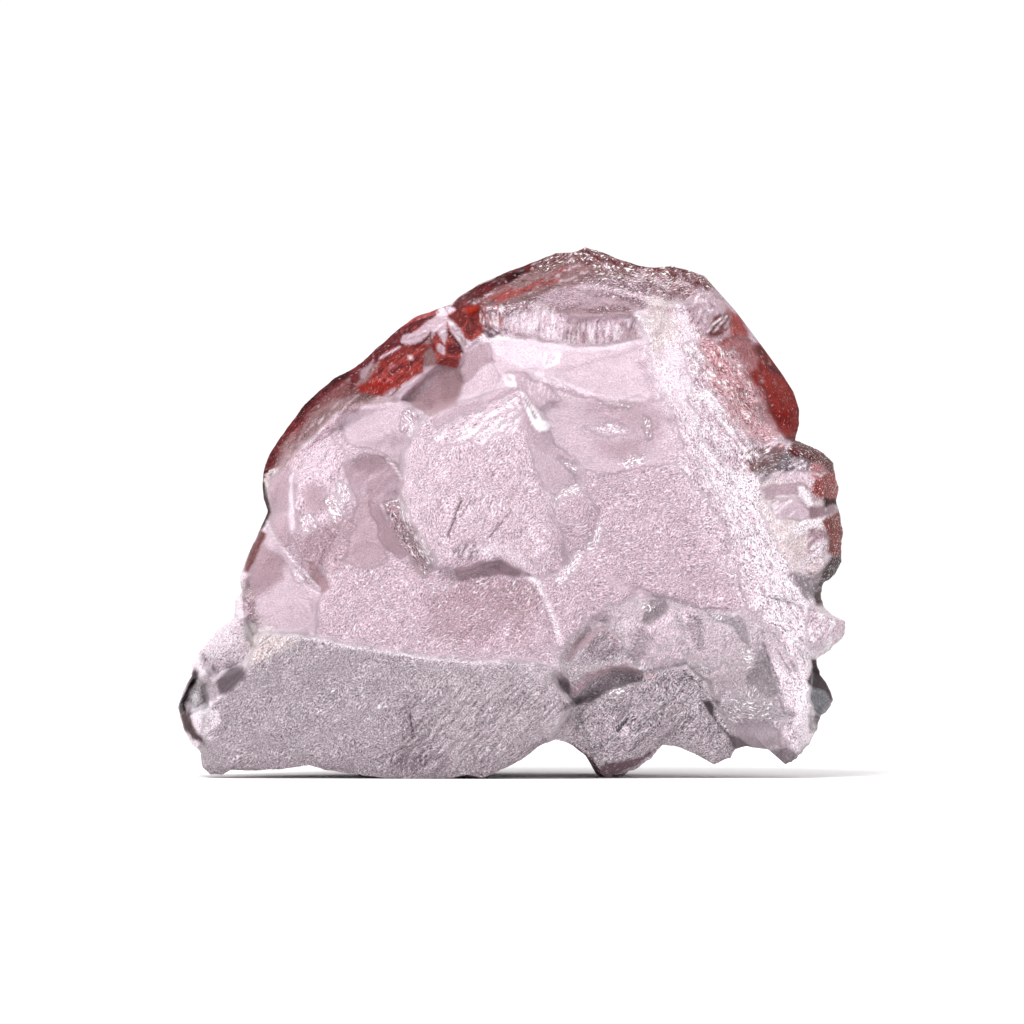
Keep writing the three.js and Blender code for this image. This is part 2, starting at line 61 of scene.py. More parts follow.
# %% Sizes, mm
HEART = np.array([1.0, 8.0, 32.0])  # the middle, which rays start from; its y counts from the rim plane
RIM_PLANE_Y = -5.9  # where the top edge of the rim lies
BACK_REACH = 18  # from the heart to the back face
GIRDLE_DEPTH = 7  # so far behind the rim, the outer wall has worn down to its girdle
WALL_LEAN = 0.12  # the wall draws in by this much for each mm towards the back
ROLL_WIDTH = 3  # the break turns into the rim over this width
BULGE_WIDTH = 6  # a swelling plate is rounded over this width
BREAK_FORWARD, BREAK_LEVEL, BREAK_LEAN = 12.5, 15, 0.17  # the lie of the break where no plate covers it
RIM_CHIP = 0.3  # depth of the small chips along the rim
print("heart, mm:", HEART)

# %% [markdown]
# ## Outlines
#
# Outlines are lists of points in mm, x to the right and z up, and run counter-clockwise from the right.
# Only the points that the shape needs are in them: the rough edge between two points is added later, by
# noise. A point of the rim has a third number, how far forward of the rim plane it lies.

# %% The rim and the girdle
def points_of(text):
    """The points of a path, in mm, written as "x,z x,z" or "x,z,forward x,z,forward"."""
    return [[float(number) for number in point.split(",")] for point in text.split()]


RIM = points_of(
    # right lobe, up to the notch under the red face
    "41.2,26.8,1 41.4,30.5,0.5 41.1,32.4,0.5 40.5,34.5,1 40.9,35.8,0.5 40.5,37.2,1 40.2,39.2,1 39,40.4,1.5"
    " 37.1,41.4,2 35.4,42,1"
    # red face and shoulder, up to the peak
    " 35.9,43.8,0 35.9,45.8,0 35.2,48,0 33.8,50.2,0 31.5,53.4,0 27.9,58.2,0 25.2,61.2,0 24,62.6,0"
    " 22.2,63.2,0 20,63.8,0 18,63.6,0 15.8,63.9,0 13.5,64.6,0 11.2,65.6,0 9.2,66.1,0"
    # roof and the long upper left edge, down to the left corner of the lobe
    " 7.5,65.5,0 5.5,65.4,0 2.5,64.2,0 -0.8,63,0 -4,61.6,0 -6.2,60.2,0 -7.8,59,1 -9.8,58.2,0 -12.2,57.4,0"
    " -14.1,56,0 -16.4,54,0 -18.6,51.9,0 -20.2,50.8,0 -22.2,49.8,0 -24.2,48.1,0 -26,46.4,0 -27.5,44.4,0"
    " -29.1,42.2,0 -30.4,40.1,0.5 -31,38.4,1 -31.2,36.5,1 -31,34.5,1 -30.5,33.1,1 -31.2,31.5,1"
    # left side, out to the crumbs and the left corner
    " -32.4,28.9,1.5 -33.4,26.6,2 -34,24.9,2.5 -33.8,23,3 -34.5,22,4 -34.6,19.8,6 -36.6,18.4,7 -38.6,16,6"
    " -39.9,14.1,4 -40.1,12.4,2 -41.2,10.6,1 -41.8,8.5,1 -41.1,6,2 -40.2,4.2,4 -38.8,3.2,7.5 -38.5,1.4,8.5"
    # underside of the foot
    " -37.5,0.4,9 -35.9,0.4,9.5 -34.9,1,10 -32,0.9,10.5 -28.5,1.1,11 -25.1,1.6,11.5 -23.1,1,11.5"
    " -18.8,0.4,12 -14,-0.1,12.5 -8,-0.1,13 -5.5,0.5,13.5 -3.6,0.1,13.5 -1.6,0.9,13.5 1,2.2,13.5"
    " 3.6,4.1,13.5 5.5,4.8,13"
    # underside of the dark block and of the clear one
    " 7.5,4.1,12.5 10,2,11.5 10.6,0.9,11 11.8,-0.1,10 15.5,1.1,10 17.4,2.5,10.5 18.6,4.1,11 20.5,3.9,11"
    " 23.4,2.6,10 25.1,1.6,10 27.2,2.4,10 27.6,3.5,10 29.2,3.8,10 31.8,3.5,10 34,1.6,10 35.6,2.5,10"
    " 37.1,4.1,7"
    # grey crystal, spur and the waist under the right lobe
    " 38.2,6,4 38.5,7.5,3 39.6,8.2,2 40.2,9.4,1 39.8,10.9,1.5 38.6,12.6,3 37.9,14.6,6 40,16.1,7.5"
    " 41.5,17.8,8 41.5,19.4,8 40,20.1,8 38.8,21.2,6 38.5,22.8,4 39,24.1,3 40.4,25.2,2"
)
GIRDLE = points_of(
    "40,30 39,39 34.6,42.6 34,48 25,60.3 20,62.4 9,64.4 0,62 -9,57.4 -19,50.4 -27,42.8 -29.6,37 -30,32"
    " -33,22.5 -37.2,16 -40.4,9 -38.6,4.5 -34,1.4 -24,1.8 -19,-0.4 -3.5,-0.4 0.5,2.4 3.5,5 7.5,5 11,-0.3"
    " 13.5,-0.3 18.4,5.2 27,4.6 33.5,4 36.4,6 37.5,12 37,20 38,25"
)
print("rim:", len(RIM), "points, girdle:", len(GIRDLE))

# %% The natural faces
NATURAL_FACES = [
    dict(looks=[0.12, 1, 0.3], distance=BACK_REACH),  # back
    dict(looks=[-0.15, 0.75, 1], distance=23),  # upper back
    dict(looks=[-0.8, 0.8, 0.7], distance=23),  # upper left
    dict(looks=[-1, 0.95, -0.1], distance=28),  # left
    dict(looks=[1, 0.8, 0.25], distance=27),  # right
    dict(looks=[0.75, 0.7, 0.8], distance=28.8),  # upper right
    dict(looks=[0.1, 0.9, -0.6], distance=22.5),  # lower back
    dict(looks=[0.8, 0.8, -0.6], distance=26.5),  # lower right
    dict(looks=[-0.7, 1, -0.5], distance=26),  # lower left
    dict(looks=[0.2, 0.35, 1], distance=31),  # narrow face behind the peak
    dict(looks=[-0.35, 0.3, 1], distance=27.2),  # long narrow face along the upper left edge
]
print("natural faces:", len(NATURAL_FACES))

# %% [markdown]
# ## Tints and finishes
#
# The stone has few colours: milk that is denser or thinner, smoke where it is clear and dark behind, and
# iron reds. A finish says how the surface broke or grew. Both are kept by name, so that the tables below
# read like a description of the stone.

# %% Tints and finishes
PALETTE = {  # sRGB tints of the stone, pale to dark, then the iron reds
    "snow": "F8EFF5", "white": "EADCE4", "milk": "DCCAD5", "pale pink": "CFBAC5", "pink": "C4AFBA",
    "soft pink": "B9A3AE", "dusky pink": "AE96A0", "mauve": "A08790", "deep mauve": "8C737B",
    "dark mauve": "705860", "glass": "B5A8AF", "smoke": "A4989F", "grey": "8A7B83", "dark grey": "6A5E64",
    "shadow": "4A4145", "slate": "8B8A90", "warm milk": "D2C2C4", "smoky milk": "BAABB3",
    "pink brown": "A68890", "brown": "7C5E60", "dark brown": "432C2E", "rust": "8A3A38",
    "rose red": "994B4C", "rose": "A66C72", "dusty rose": "8C5C60", "rosy mauve": "B28A91", "red": "701612",
    "bright red": "86201A", "orange red": "8E2414", "red brown": "6A4042", "brick": "762622",
    "maroon": "541C20", "dark maroon": "300A0D", "black skin": "1C0B0E",
}
# The last part, painted_glint, is painted highlight: how many grains the material paints white, as if they
# caught the light.
FINISH_PARTS = ["grain", "fibre", "shine", "clear", "skin", "painted_glint"]
FINISHES = {  # how grainy, fibrous, polished, see-through, iron-skinned and glinting a surface is
    "sugary": [0.9, 0, 0.3, 0, 0, 0.5],
    "coarse": [1.1, 0, 0.35, 0, 0, 0.4],
    "rubbly": [1.6, 0, 0.35, 0, 0, 0.5],
    "waxy": [0.8, 0, 0.5, 0.08, 0, 0.3],
    "smooth": [0.35, 0, 0.55, 0.08, 0, 0],
    "lined": [0.35, 1.8, 0.6, 0, 0, 0.2],
    "glassy": [0.6, 0, 0.9, 0.5, 0, 0.3],
    "crumbly": [1.2, 0.15, 0.75, 0.25, 0, 0.7],
    "sparkling": [1.6, 0.4, 0.5, 0.05, 0.2, 0.9],
    "crusty": [1.2, 0.2, 0.4, 0, 0.6, 0.7],
    "silky": [0.8, 1.3, 0.5, 0, 0, 0.5],
    "speckled": [1.3, 0.3, 0.4, 0, 0, 0.7],
    "frosted": [1.5, 0.1, 0.4, 0, 0, 0.8],
    "fibrous": [1, 1, 0.4, 0, 0, 0.6],
    "skinned": [0.3, 0, 0.2, 0, 0.6, 0.15],
    "skin": [0.2, 0, 0.1, 0, 1, 0.15],
    "white": [0.3, 0, 0.6, 0, 0, 0.2],
    # painted highlight: these two finishes mostly paint flashing grains white
    "painted_glinting": [0.9, 0.1, 0.6, 0.05, 0, 1.3],
    "sparse glints": [0.8, 0.1, 0.6, 0.05, 0, 0.9],
}
print("tints:", len(PALETTE), " finishes:", len(FINISHES))

# %% [markdown]
# ## Plates of the break
#
# Quartz has no cleavage, so a blow runs through it in shells, steps and plates. Each plate here is a
# plane with its own tilt and swelling. They are laid over one another like paint, in the order of the
# table, so the ledges and edges between them come by themselves.

# %% The plates
def plate(name, outline, tint, finish, run, at, forward, right=0, up=0, bulge=0, edge=1.6, paint=0.5,
          ragged=1):
    """A piece of the break. At the point `at` it lies `forward` mm in front of the rim plane, and comes
    `right` and `up` further forward for each mm that way; its middle stands out by `bulge` mm. Its shape
    fades in over `edge` mm and its colour over `paint` mm, and `ragged` says how far its edge wanders.
    Its grain runs at `run` degrees."""
    return dict(name=name, outline=points_of(outline), tint=tint, finish=finish, run=run, at=at,
                forward=forward, right=right, up=up, bulge=bulge, edge=edge, paint=paint, ragged=ragged)


PLATES = [
    plate("roof", "-5,61 10,67 24.5,63 26,59.5 23.5,54.5 16,57.5 8.5,57.5 -4,58.5", "brown", "speckled",
        run=17, at=(9.5, 61), forward=2, up=-0.4, edge=1.5, paint=1),
    plate("skin band", "-32,38 -28,45 -14,57 -9,59 -5,57.5 -6,53 -9,52 -11.5,50 -14.5,47 -21,46.5 -26.5,41"
        " -30,37", "brown", "skinned", run=50, at=(-20, 47), forward=2.6, right=0.24, up=-0.22, edge=1.5,
        paint=0.8),
    plate("star chip", "-9,59 -7.5,57 -5.5,53.5 -8,54.5 -9,52.5 -10,55 -14,54.5 -10.5,57.5", "rust",
        "skinned", run=35, at=(-8.6, 57.2), forward=3, right=0.2, up=-0.1, bulge=0.6, edge=0.8),
    plate("striated face", "-5,57 -4,58.5 1,59 8.5,57.5 15,57.5 17,55 16,54.5 11,53.5 6,54 1,54.5 -3,55",
        "pink", "lined", run=90, at=(6, 56.5), forward=3.8, up=-0.12, edge=0.8),
    plate("upper plate", "-7,45.5 -6,49 -6.5,51 -6,53 -4,54 1,54.5 6,54 11,53.5 16,54.5 17,54 18,51 18.5,46"
        " 11.5,46 4,48", "pale pink", "smooth", run=-10, at=(5.5, 50.5), forward=7.5, right=-0.02, up=-0.5,
        edge=0.9, paint=0.3),
    plate("upper plate's left facet", "-7,46 -6,49 -6.5,51 -6,53 -4,54 -3,53 -1.5,50 -2,48", "pale pink",
        "smooth", run=60, at=(-4, 51.5), forward=6.4, right=0.35, up=-0.35, edge=0.9),
    plate("cave", "-14,47 -11,50.5 -8,52 -6.5,51 -6,49 -7,46.5 -10,45 -12,46", "pink brown", "smooth",
        run=35, at=(-10, 48), forward=4.2, right=0.15, up=-0.15, bulge=-0.6),
    plate("left lobe", "-30.5,32 -30,35 -29.5,38 -26.5,41 -23,43.5 -19,45.5 -15,47 -14,47 -12.5,46 -11,44.5"
        " -12,38 -12,34 -11,27 -17.5,27 -22,26.5 -23,23 -25.5,24 -27.5,27 -29,29", "soft pink", "waxy",
        run=35, at=(-21.5, 38), forward=7, right=0.18, up=-0.22, bulge=1.6, paint=0.8),
    plate("left valley", "-22,40 -18,41.5 -14,41 -12,38 -12,34 -15,33 -19,34.5 -22.5,37", "pale pink",
        "waxy", run=35, at=(-17, 37), forward=8.4, right=0.05, up=-0.1, bulge=-0.2, edge=3.5, paint=2.6,
        ragged=2.5),
    plate("cone", "-18.4,34.5 -21,31 -23,27 -18,26.5 -13.5,26.5 -13.8,29 -16.5,32.5", "dusky pink", "smooth",
        run=60, at=(-18.3, 29.5), forward=10.5, right=0.1, up=-0.25, bulge=0.8, edge=3, paint=2),
    plate("pink patch", "-33.5,22 -33,26 -32,28.5 -30.5,31.5 -29,29 -27,26 -25,23.5 -23,23 -20,22 -20,17"
        " -26.5,17 -31,17.5 -33,19.5", "pink", "smooth", run=10, at=(-24, 19), forward=12.4, right=0.36,
        up=-0.3, edge=1.2, paint=1.2),
    plate("slope under the nodule", "-24,17 -24,22.5 -22.5,27 -14,28.5 -12,30.5 -5,27 4,27 6,21 7.5,17.5"
        " 7,12.5 -4,13.5 -16,15.5", "soft pink", "sugary", run=40, at=(-5, 20), forward=14.4, right=0.02,
        up=-0.36, edge=2, paint=1.2),
    plate("clear block", "24,14 27.5,13.5 30,16.5 32,15 34,11 35,7 37,4 36.5,1 26,0 25,9", "glass", "glassy",
        run=60, at=(30, 9), forward=11.8, right=-0.12, up=0.1, bulge=0.5, edge=1),
    plate("dark block", "5,8 7.5,9 11,11.5 16,13 21.5,14 24,12 25.5,9 27,6 28,3.5 28,0 5,-1", "smoke",
        "rubbly", run=45, at=(16, 8), forward=13, right=-0.03, up=0.26, bulge=0.4, edge=1),
    # the foot's grey is partly the quartz's own smoke and partly painted shade, as it faces down, away from
    # the lamp
    plate("foot", "-40,-1 -39,3.5 -38.3,8 -36,10 -33,13.5 -31,18 -28.5,18.2 -24,17.5 -20,17 -16,16.2"
        " -10,15.2 -4,14.7 2,14.6 5,14 5.5,11.5 7.8,9.6 6,7.5 5,5 3,2.5 -1,-1", "smoke", "coarse", run=45,
        at=(-16.5, 8), forward=15, right=0.11, up=0.28, edge=1, paint=0.25),
    plate("ground between the nodule and the shoulder", "1,25 8,20 12,28 12,38 10,47 4,50 1,47", "milk",
        "sugary", run=40, at=(6, 34), forward=12.6, right=-0.1, up=-0.12, edge=2.5),
    plate("nodule", "-14,34.5 -13.5,38 -13,42 -11.5,44 -9,45.5 -4,47 0,48.7 1.4,48.6 2.3,46.6 4.5,43.5"
        " 6,40.5 8.3,38 8.5,36 5.5,35 5,32.5 6.5,29.5 6,25.5 3,24.5 0.5,26 -2,27 -4,26.6 -6.5,25.5 -9,26"
        " -10.5,28 -12,30 -13.3,32", "pink", "sugary", run=55, at=(-2.5, 36), forward=13.4, up=-0.02,
        bulge=1.5, edge=1.1, paint=0.6),
    plate("nodule's streaked cap", "-12.5,42.5 -9,45.7 -4,47.2 0,49 1.4,48.6 2,46.5 -1,43 -7,41.5", "pink",
        "sugary", run=27, at=(-3.5, 44.5), forward=13, right=0.05, up=-0.42),
    plate("nodule's right facet", "1.3,48.5 2.3,46.6 4.5,43.5 8.3,38.5 8.5,36.3 5.5,35 3.5,37 2,42", "pink",
        "smooth", run=60, at=(4.5, 40), forward=13.2, right=-0.6, up=0.06, edge=2.2, paint=0.9),
    plate("scoop", "2.6,48 3.8,48.9 7.5,48 11.5,47 16,47 19.5,48 22.5,44 23,37 11,37 8.8,38 6.2,41 4.6,43.8",
        "pink", "smooth", run=15, at=(11, 43), forward=11, right=-0.1, up=-0.2, bulge=-0.2, edge=3.5,
        paint=1.6, ragged=1.6),
    plate("facet beside the peak", "6.2,47.5 4.1,49.1 1.2,50.5 -0.9,50.2 0.2,48.5 1.8,46.5 3.5,45.8 4.5,46.7"
        " 6,46.7", "soft pink", "smooth", run=-75, at=(3, 48), forward=11.4, right=-0.2, up=-0.5, edge=1.2,
        paint=0.4),
    plate("shoulder", "5.2,32.5 5.7,35 8.8,36.2 9,38.2 11,37.6 16,38.5 19,39 23,39.5 28.5,32 33,22 32,18.5"
        " 24,20 19,21.6 16,22.6 14.5,21.2 13.5,19.5 11,19 9,17 7,14 5,17 4,22 3.4,24.4 6.2,25.4 6.8,29.5",
        "soft pink", "sugary", run=27, at=(16, 30), forward=12.4, right=-0.05, up=-0.1, bulge=0.3, edge=3.5,
        paint=1.4),
    plate("step of the shoulder", "5.2,32.5 5.7,35 9,36 10.5,33 10,28.5 6.8,26 6.8,29.5", "soft pink",
        "sugary", run=40, at=(7.5, 31), forward=12.6, right=-0.25, up=0.1, bulge=0.7, paint=1.2),
    plate("clear lumps", "16,23 19,22 24,20.5 31,20.5 33,16.5 31,14 27.5,12.8 24,12.4 21.5,13.9 16,12.9"
        " 12,13.2 11,14.8 12.3,20.3", "smoky milk", "waxy", run=60, at=(22, 17.5), forward=13.6, right=-0.06,
        bulge=1.3, edge=1.1, paint=1),
    plate("arched step", "6.5,14 9,17.3 11,19.2 14.2,17 15.3,13.6 12.5,13.4 9.6,12 7.2,10", "smoke",
        "coarse", run=45, at=(10.5, 15.5), forward=15.2, right=-0.1, up=0.1, bulge=0.6, edge=0.8),
    plate("hollow under the lumps", "7.5,9.4 9.5,12 12.5,13.4 16,13.2 16,12 12,11 10,9.8", "smoke", "smooth",
        run=10, at=(12, 11.8), forward=12.6, bulge=-0.3, edge=0.9),
    plate("vein", "17,58.5 19,59.5 22.5,59 24.5,55.5 26.5,50.5 29,44.5 31.5,38 34,31 36.5,23 39,21.5 43,20"
        " 43,17 37.5,14 37.4,11 37,6 36,1 34.4,1 34,5 33,11 31.5,15 29.5,21 27,27 24,34.5 20.5,40.5 18.5,47"
        " 17,54", "milk", "frosted", run=-72, at=(27, 34), forward=11, right=-0.16, up=-0.13, bulge=0.7,
        edge=4, paint=5, ragged=3.5),
    plate("upper end of the vein", "17,58.5 19,59.5 22.5,59 24.5,55.5 26.5,50.5 28,46 22,44.5 19,45.5"
        " 18.5,47 17,54", "milk", "fibrous", run=-75, at=(21, 50), forward=8, right=-0.12, up=-0.42,
        edge=3.5, paint=3, ragged=3),
    plate("red face", "24.5,60 29,60 33,54 37,48 37,42 33,43 30,46.5 28,51 25.5,56", "rust", "waxy", run=45,
        at=(31, 49), forward=4.2, right=-0.5, up=-0.1, bulge=0.3, edge=2.5, paint=3, ragged=2.5),
    plate("right lobe", "31,39 33,41 36,42.6 40,42 42,38 43,29.5 42,25 37,23 34,31", "soft pink", "crumbly",
        run=10, at=(35.5, 33), forward=8.4, right=-0.4, up=-0.04, bulge=1.1, edge=3, paint=2, ragged=2),
    plate("grey crystal", "37.3,14.4 38.4,14.6 42,9.5 39,5 37.6,4.6 37.4,9.5", "shadow", "glassy", run=60,
        at=(38.5, 10), forward=3, right=-0.4, up=0.2, bulge=0.2, edge=0.7),
    plate("white crumb", "-38.8,16 -37,18.4 -34.5,20.4 -33,19.4 -32,16 -34,13.6 -36,12.6 -38,14", "milk",
        "crumbly", run=30, at=(-35.4, 16), forward=9, right=0.3, bulge=1.2, edge=0.8),
    plate("small crumb", "-41,10 -39.4,12.2 -38,11.6 -37.8,9 -40,7.8", "snow", "crumbly", run=30,
        at=(-39.2, 10), forward=4.4, right=0.3, bulge=0.9, edge=0.7),
]
print("plates:", len(PLATES))

# %% [markdown]
# ## Marks on the break
#
# Each mark is one thing that a person would point at: a crack, a ledge, a chip, a stain, a run of streaks
# or of flashing grains. Like the plates, the marks are laid in order, and the later ones cover the
# earlier ones. The flashing grains and some bright edges are painted highlights. Some dark bands under
# ledges, in hollows and on faces turned from the lamp are painted shade.

# %% Kinds of mark
def patch(name, where, tint=None, finish=None, run=0, soft=0.4, rise=0, strength=1, streak=0.6, broken=0,
          width=0):
    """A mark inside an outline. It tints the break with some `strength`, gives it a finish and raises it
    by `rise` mm, and fades over `soft` mm at its edge."""
    return dict(name=name, path=points_of(where), tint=tint, finish=finish, run=run, soft=soft, rise=rise,
                strength=strength, streak=streak, broken=broken, width=width)


def streaks(name, where, tint, run, streak, broken, finish=None, **more):
    """A patch broken up into streaks. They run at `run` degrees, are about `streak` mm wide, and leave
    about the share `broken` of the patch bare."""
    return patch(name, where, tint, finish, run, streak=streak, broken=broken, **more)


def line(name, where, width, tint, soft=0.25, **more):
    """A mark along an open line, `width` mm wide: a crack, a ledge or an edge."""
    return patch(name, where, tint, width=width, soft=soft, **more)


def painted_glints(name, where, run=0, finish="painted_glinting", soft=0.8):
    """Painted highlight: grains that would flash are painted white by the material; the tint is left as it
    is.
    """
    return patch(name, where, None, finish, run, soft)


# %% [markdown]
# The iron came in along the upper left edge. The skin there is thick, dark and flaky, with streaks that
# run along the edge, and a chip shaped like a star has broken through it to bare quartz.

# %% Upper left: the iron band, the star-shaped chip and the cave
MARKS = [
    patch("streaky foot of the band", "-30.5,36.2 -26.5,43 -21.5,47.2 -18.8,47.8 -13.8,47.4 -18.8,45.6"
        " -23.4,42.8 -25.5,40.8 -29.2,35.5", "pink brown", "waxy", run=48, soft=0.6),
    streaks("brown streaks of the band", "-30.5,36 -26.5,43 -21.5,47 -19,48 -14,47.5 -21,45 -24,43", "brown",
        48, 0.35, 0.42, soft=0.8),
    streaks("pale streaks of the band", "-30.5,36.2 -26.5,42.5 -21.5,46.5 -19,46.8 -20.2,45 -25.5,40.8"
        " -29.2,35.8", "pale pink", 48, 0.3, 0.66, "waxy", soft=0.5, strength=0.7),
    streaks("rusty ground of the band", "-24.2,46.8 -22.5,48.5 -20.8,49.5 -19,48.8 -18.8,47.8 -23.4,46.5"
        " -25.9,44 -26.8,42.2 -27.8,41.2 -26.8,43.5", "red brown", 48, 0.5, 0.3, "skinned"),
    streaks("iron edge of the band", "-31.8,36 -30.8,41 -26.5,47 -22,50.8 -18.2,52.8 -18,51.2 -24.2,46.9"
        " -28.9,40.8 -30.8,36.8", "maroon", 48, 0.5, 0.22, "skin", soft=0.5),
    streaks("black edge of the band", "-26.8,46 -24.2,48.8 -19.2,51.8 -20.2,50.1 -24.2,47.8 -26.5,44.5"
        " -27,44.8", "dark maroon", 48, 0.4, 0.25, "skin"),
    streaks("pale flakes of the band", "-31.2,37 -30,40 -25.8,46 -23.5,48 -19,50.5 -20,49 -24.5,46"
        " -28.5,40.5 -30.2,37", "dusty rose", 48, 0.24, 0.72),
    streaks("iron above the red", "-20.2,51 -16.5,54.5 -11.8,58.2 -8.8,59.2 -8.2,58.4 -11.8,55.8 -13.5,54.2"
        " -14.2,53 -17.8,51 -20.2,48.2", "maroon", 42, 0.5, 0.06, "skin", soft=0.3),
    streaks("red heart of the band", "-19.2,48.5 -16.8,51 -16,52.5 -14.2,53.9 -9.5,54.1 -8.8,53.2 -11,50.4"
        " -15.8,47.5 -18.8,47.9", "brick", 40, 0.5, 0.05, "skinned", soft=0.5),
    streaks("rusty threads of the red", "-19,48.2 -13.5,53.2 -10,53.8 -9.8,52 -12.2,49.5 -15.2,47.5", "rust",
        42, 0.28, 0.45, soft=0.6),
    streaks("dark cracks of the red", "-17.5,50.5 -16,52.8 -14,54.2 -11,54.4 -9,54 -9.8,52.2 -14.5,50.5"
        " -16,49.2", "maroon", 40, 0.35, 0.55, soft=0.6, strength=0.9),
    streaks("orange threads of the red", "-19.2,48.2 -19,49 -15,50 -14.2,49.5 -15.5,48 -17.5,47.5",
        "bright red", 40, 0.3, 0.45),
    streaks("pale veil of the red", "-17.8,49.5 -16.8,51.2 -15.2,51.8 -14.2,51.2 -15,49.8 -16.5,48.8",
        "rose", 48, 0.3, 0.72),
    streaks("lilac inclusion", "-19.1,49.6 -18.9,50.8 -17.2,52 -18.2,49.6", "mauve", 50, 0.4, 0.25, "smooth",
        soft=0.25, strength=0.8),
    line("thread under the iron", "-14,53.6 -16.5,52.2", 0.25, "soft pink"),
    patch("chip on the red", "-13,52.5 -12.4,52.5 -12.4,52 -12.9,52", "white", "white", strength=0.8),
    streaks("red right of the star", "-8.5,57.5 -5.8,59.2 -3.9,59.4 -3.4,57.2 -4.1,56.6 -3.4,55.5 -4,54.6"
        " -5.2,54.2 -6.8,55.2 -7.5,56.5", "rust", 70, 0.5, 0.05, "skinned", soft=0.3),
    streaks("dark of the star", "-7.8,57.2 -6.8,58.8 -5.8,58.8 -5.8,57.2 -4.8,56.8 -4.2,55.8 -5.2,54.8",
        "dark maroon", 60, 0.4, 0.35, "skinned", strength=0.6),
    streaks("red under the star", "-9.5,54.2 -7.5,54.8 -6.2,53.2 -6.8,50.8 -9.6,51.5", "rust", 60, 0.5, 0.05,
        "skinned", soft=0.3),
    streaks("worn edge of the iron", "-14.5,56 -12.2,58 -8.2,59.1 -8.1,58.1 -10.8,57 -13.5,55.2", "rose red",
        30, 0.35, 0.58),
    streaks("dark under the right arm", "-7.9,53.9 -6.8,53.9 -6,52.9 -7.2,52.5 -8.1,52.9", "maroon", 20, 0.4,
        0.1, "skin", soft=0.3),
    patch("orange spot", "-5.8,59 -4.2,59.2 -4.1,57.9 -5,57.4 -5.6,57.8", "orange red", "smooth", soft=0.3),
    streaks("glassy root of the star", "-11,51.2 -10.9,53 -10.1,53.9 -9.5,52.6 -9.6,51.2", "brown", 80, 0.4,
        0.15, "smooth", soft=0.3),
    *(
        patch(f"star, {part}", where, tint, "white", soft=0.25, rise=0.3)
        for part, tint, where in (
            ("left arm", "dusky pink", "-14,54.2 -13.6,55 -12.5,55.2 -10.5,56.9 -8.2,58 -8,56.9"
             " -11,54.4 -12.5,53.9"),
            ("middle arm", "soft pink", "-9.2,56.2 -8.1,57 -8.1,55.2 -8.4,53.8 -9.4,55.4 -10,54.6"
             " -10.5,55.1"),
            ("tail", "dusky pink", "-9.2,54 -8.5,53.6 -8.4,52.6 -9.2,53.1"),
            ("right arm", "dusky pink", "-8.1,57.2 -7.4,56.8 -5.8,54.8 -5.4,53.8 -6.1,53.5 -7,54.5"
             " -7.8,55.6"),
        )
    ),
    line("first shade of the star", "-10.1,55.4 -10.4,54.8 -11,54.4", 0.3, "maroon", soft=0.2),
    line("second shade of the star", "-8,55.6 -6.4,53.5", 0.25, "dark maroon", soft=0.2),
    streaks("light on the star", "-13.5,54.6 -9.5,57.4 -8.1,57.9 -8.1,54.5 -10.2,55.8 -13.5,54.1", "snow",
        35, 0.25, 0.66, soft=0.3, strength=0.8),
    streaks("light on the right arm", "-8.1,57 -7.4,56.8 -5.8,54.5 -5.8,53.6 -7,54.8", "white", -50, 0.2,
        0.5, soft=0.2, strength=0.6),
    streaks("top of the star", "-9.5,57.5 -8.9,58.5 -7.5,58.9 -7,58.2 -8,57.4", "pale pink", 20, 0.3, 0.3,
        soft=0.3),
    streaks("crumbs at the foot of the band", "-31.2,36.5 -30.8,38.2 -29.2,38.5 -29.5,37.2 -31,35",
        "warm milk", 30, 0.25, 0.4, "crumbly", soft=0.3),
    patch("floor of the cave", "-11,51.2 -9,51.2 -6.8,50.5 -6,49.5 -6.8,48 -6.9,46.2 -9,45.5 -10.1,44.9"
        " -10.8,45.2 -12.1,46.4 -13.5,47.2 -16,46.8 -11,49.8", "pink brown", "smooth", run=38, soft=0.25,
        strength=0.9),
    streaks("streaks of the cave", "-15.2,47 -10.8,50.5 -9,51 -9.5,49 -11.5,47.2", "dusky pink", 38, 0.25,
        0.45, "smooth", soft=0.5),
    streaks("rosy streaks of the cave", "-16,47.2 -14,48.8 -9.8,51 -13.5,47.2", "soft pink", 38, 0.3, 0.35,
        "smooth", soft=0.6),
    patch("dark end of the cave", "-8.5,49.5 -7,50.2 -6,49.5 -6.9,46.4 -8.5,46.5 -9,48", "brown", soft=0.8,
        strength=0.3),
]
print("marks so far:", len(MARKS))
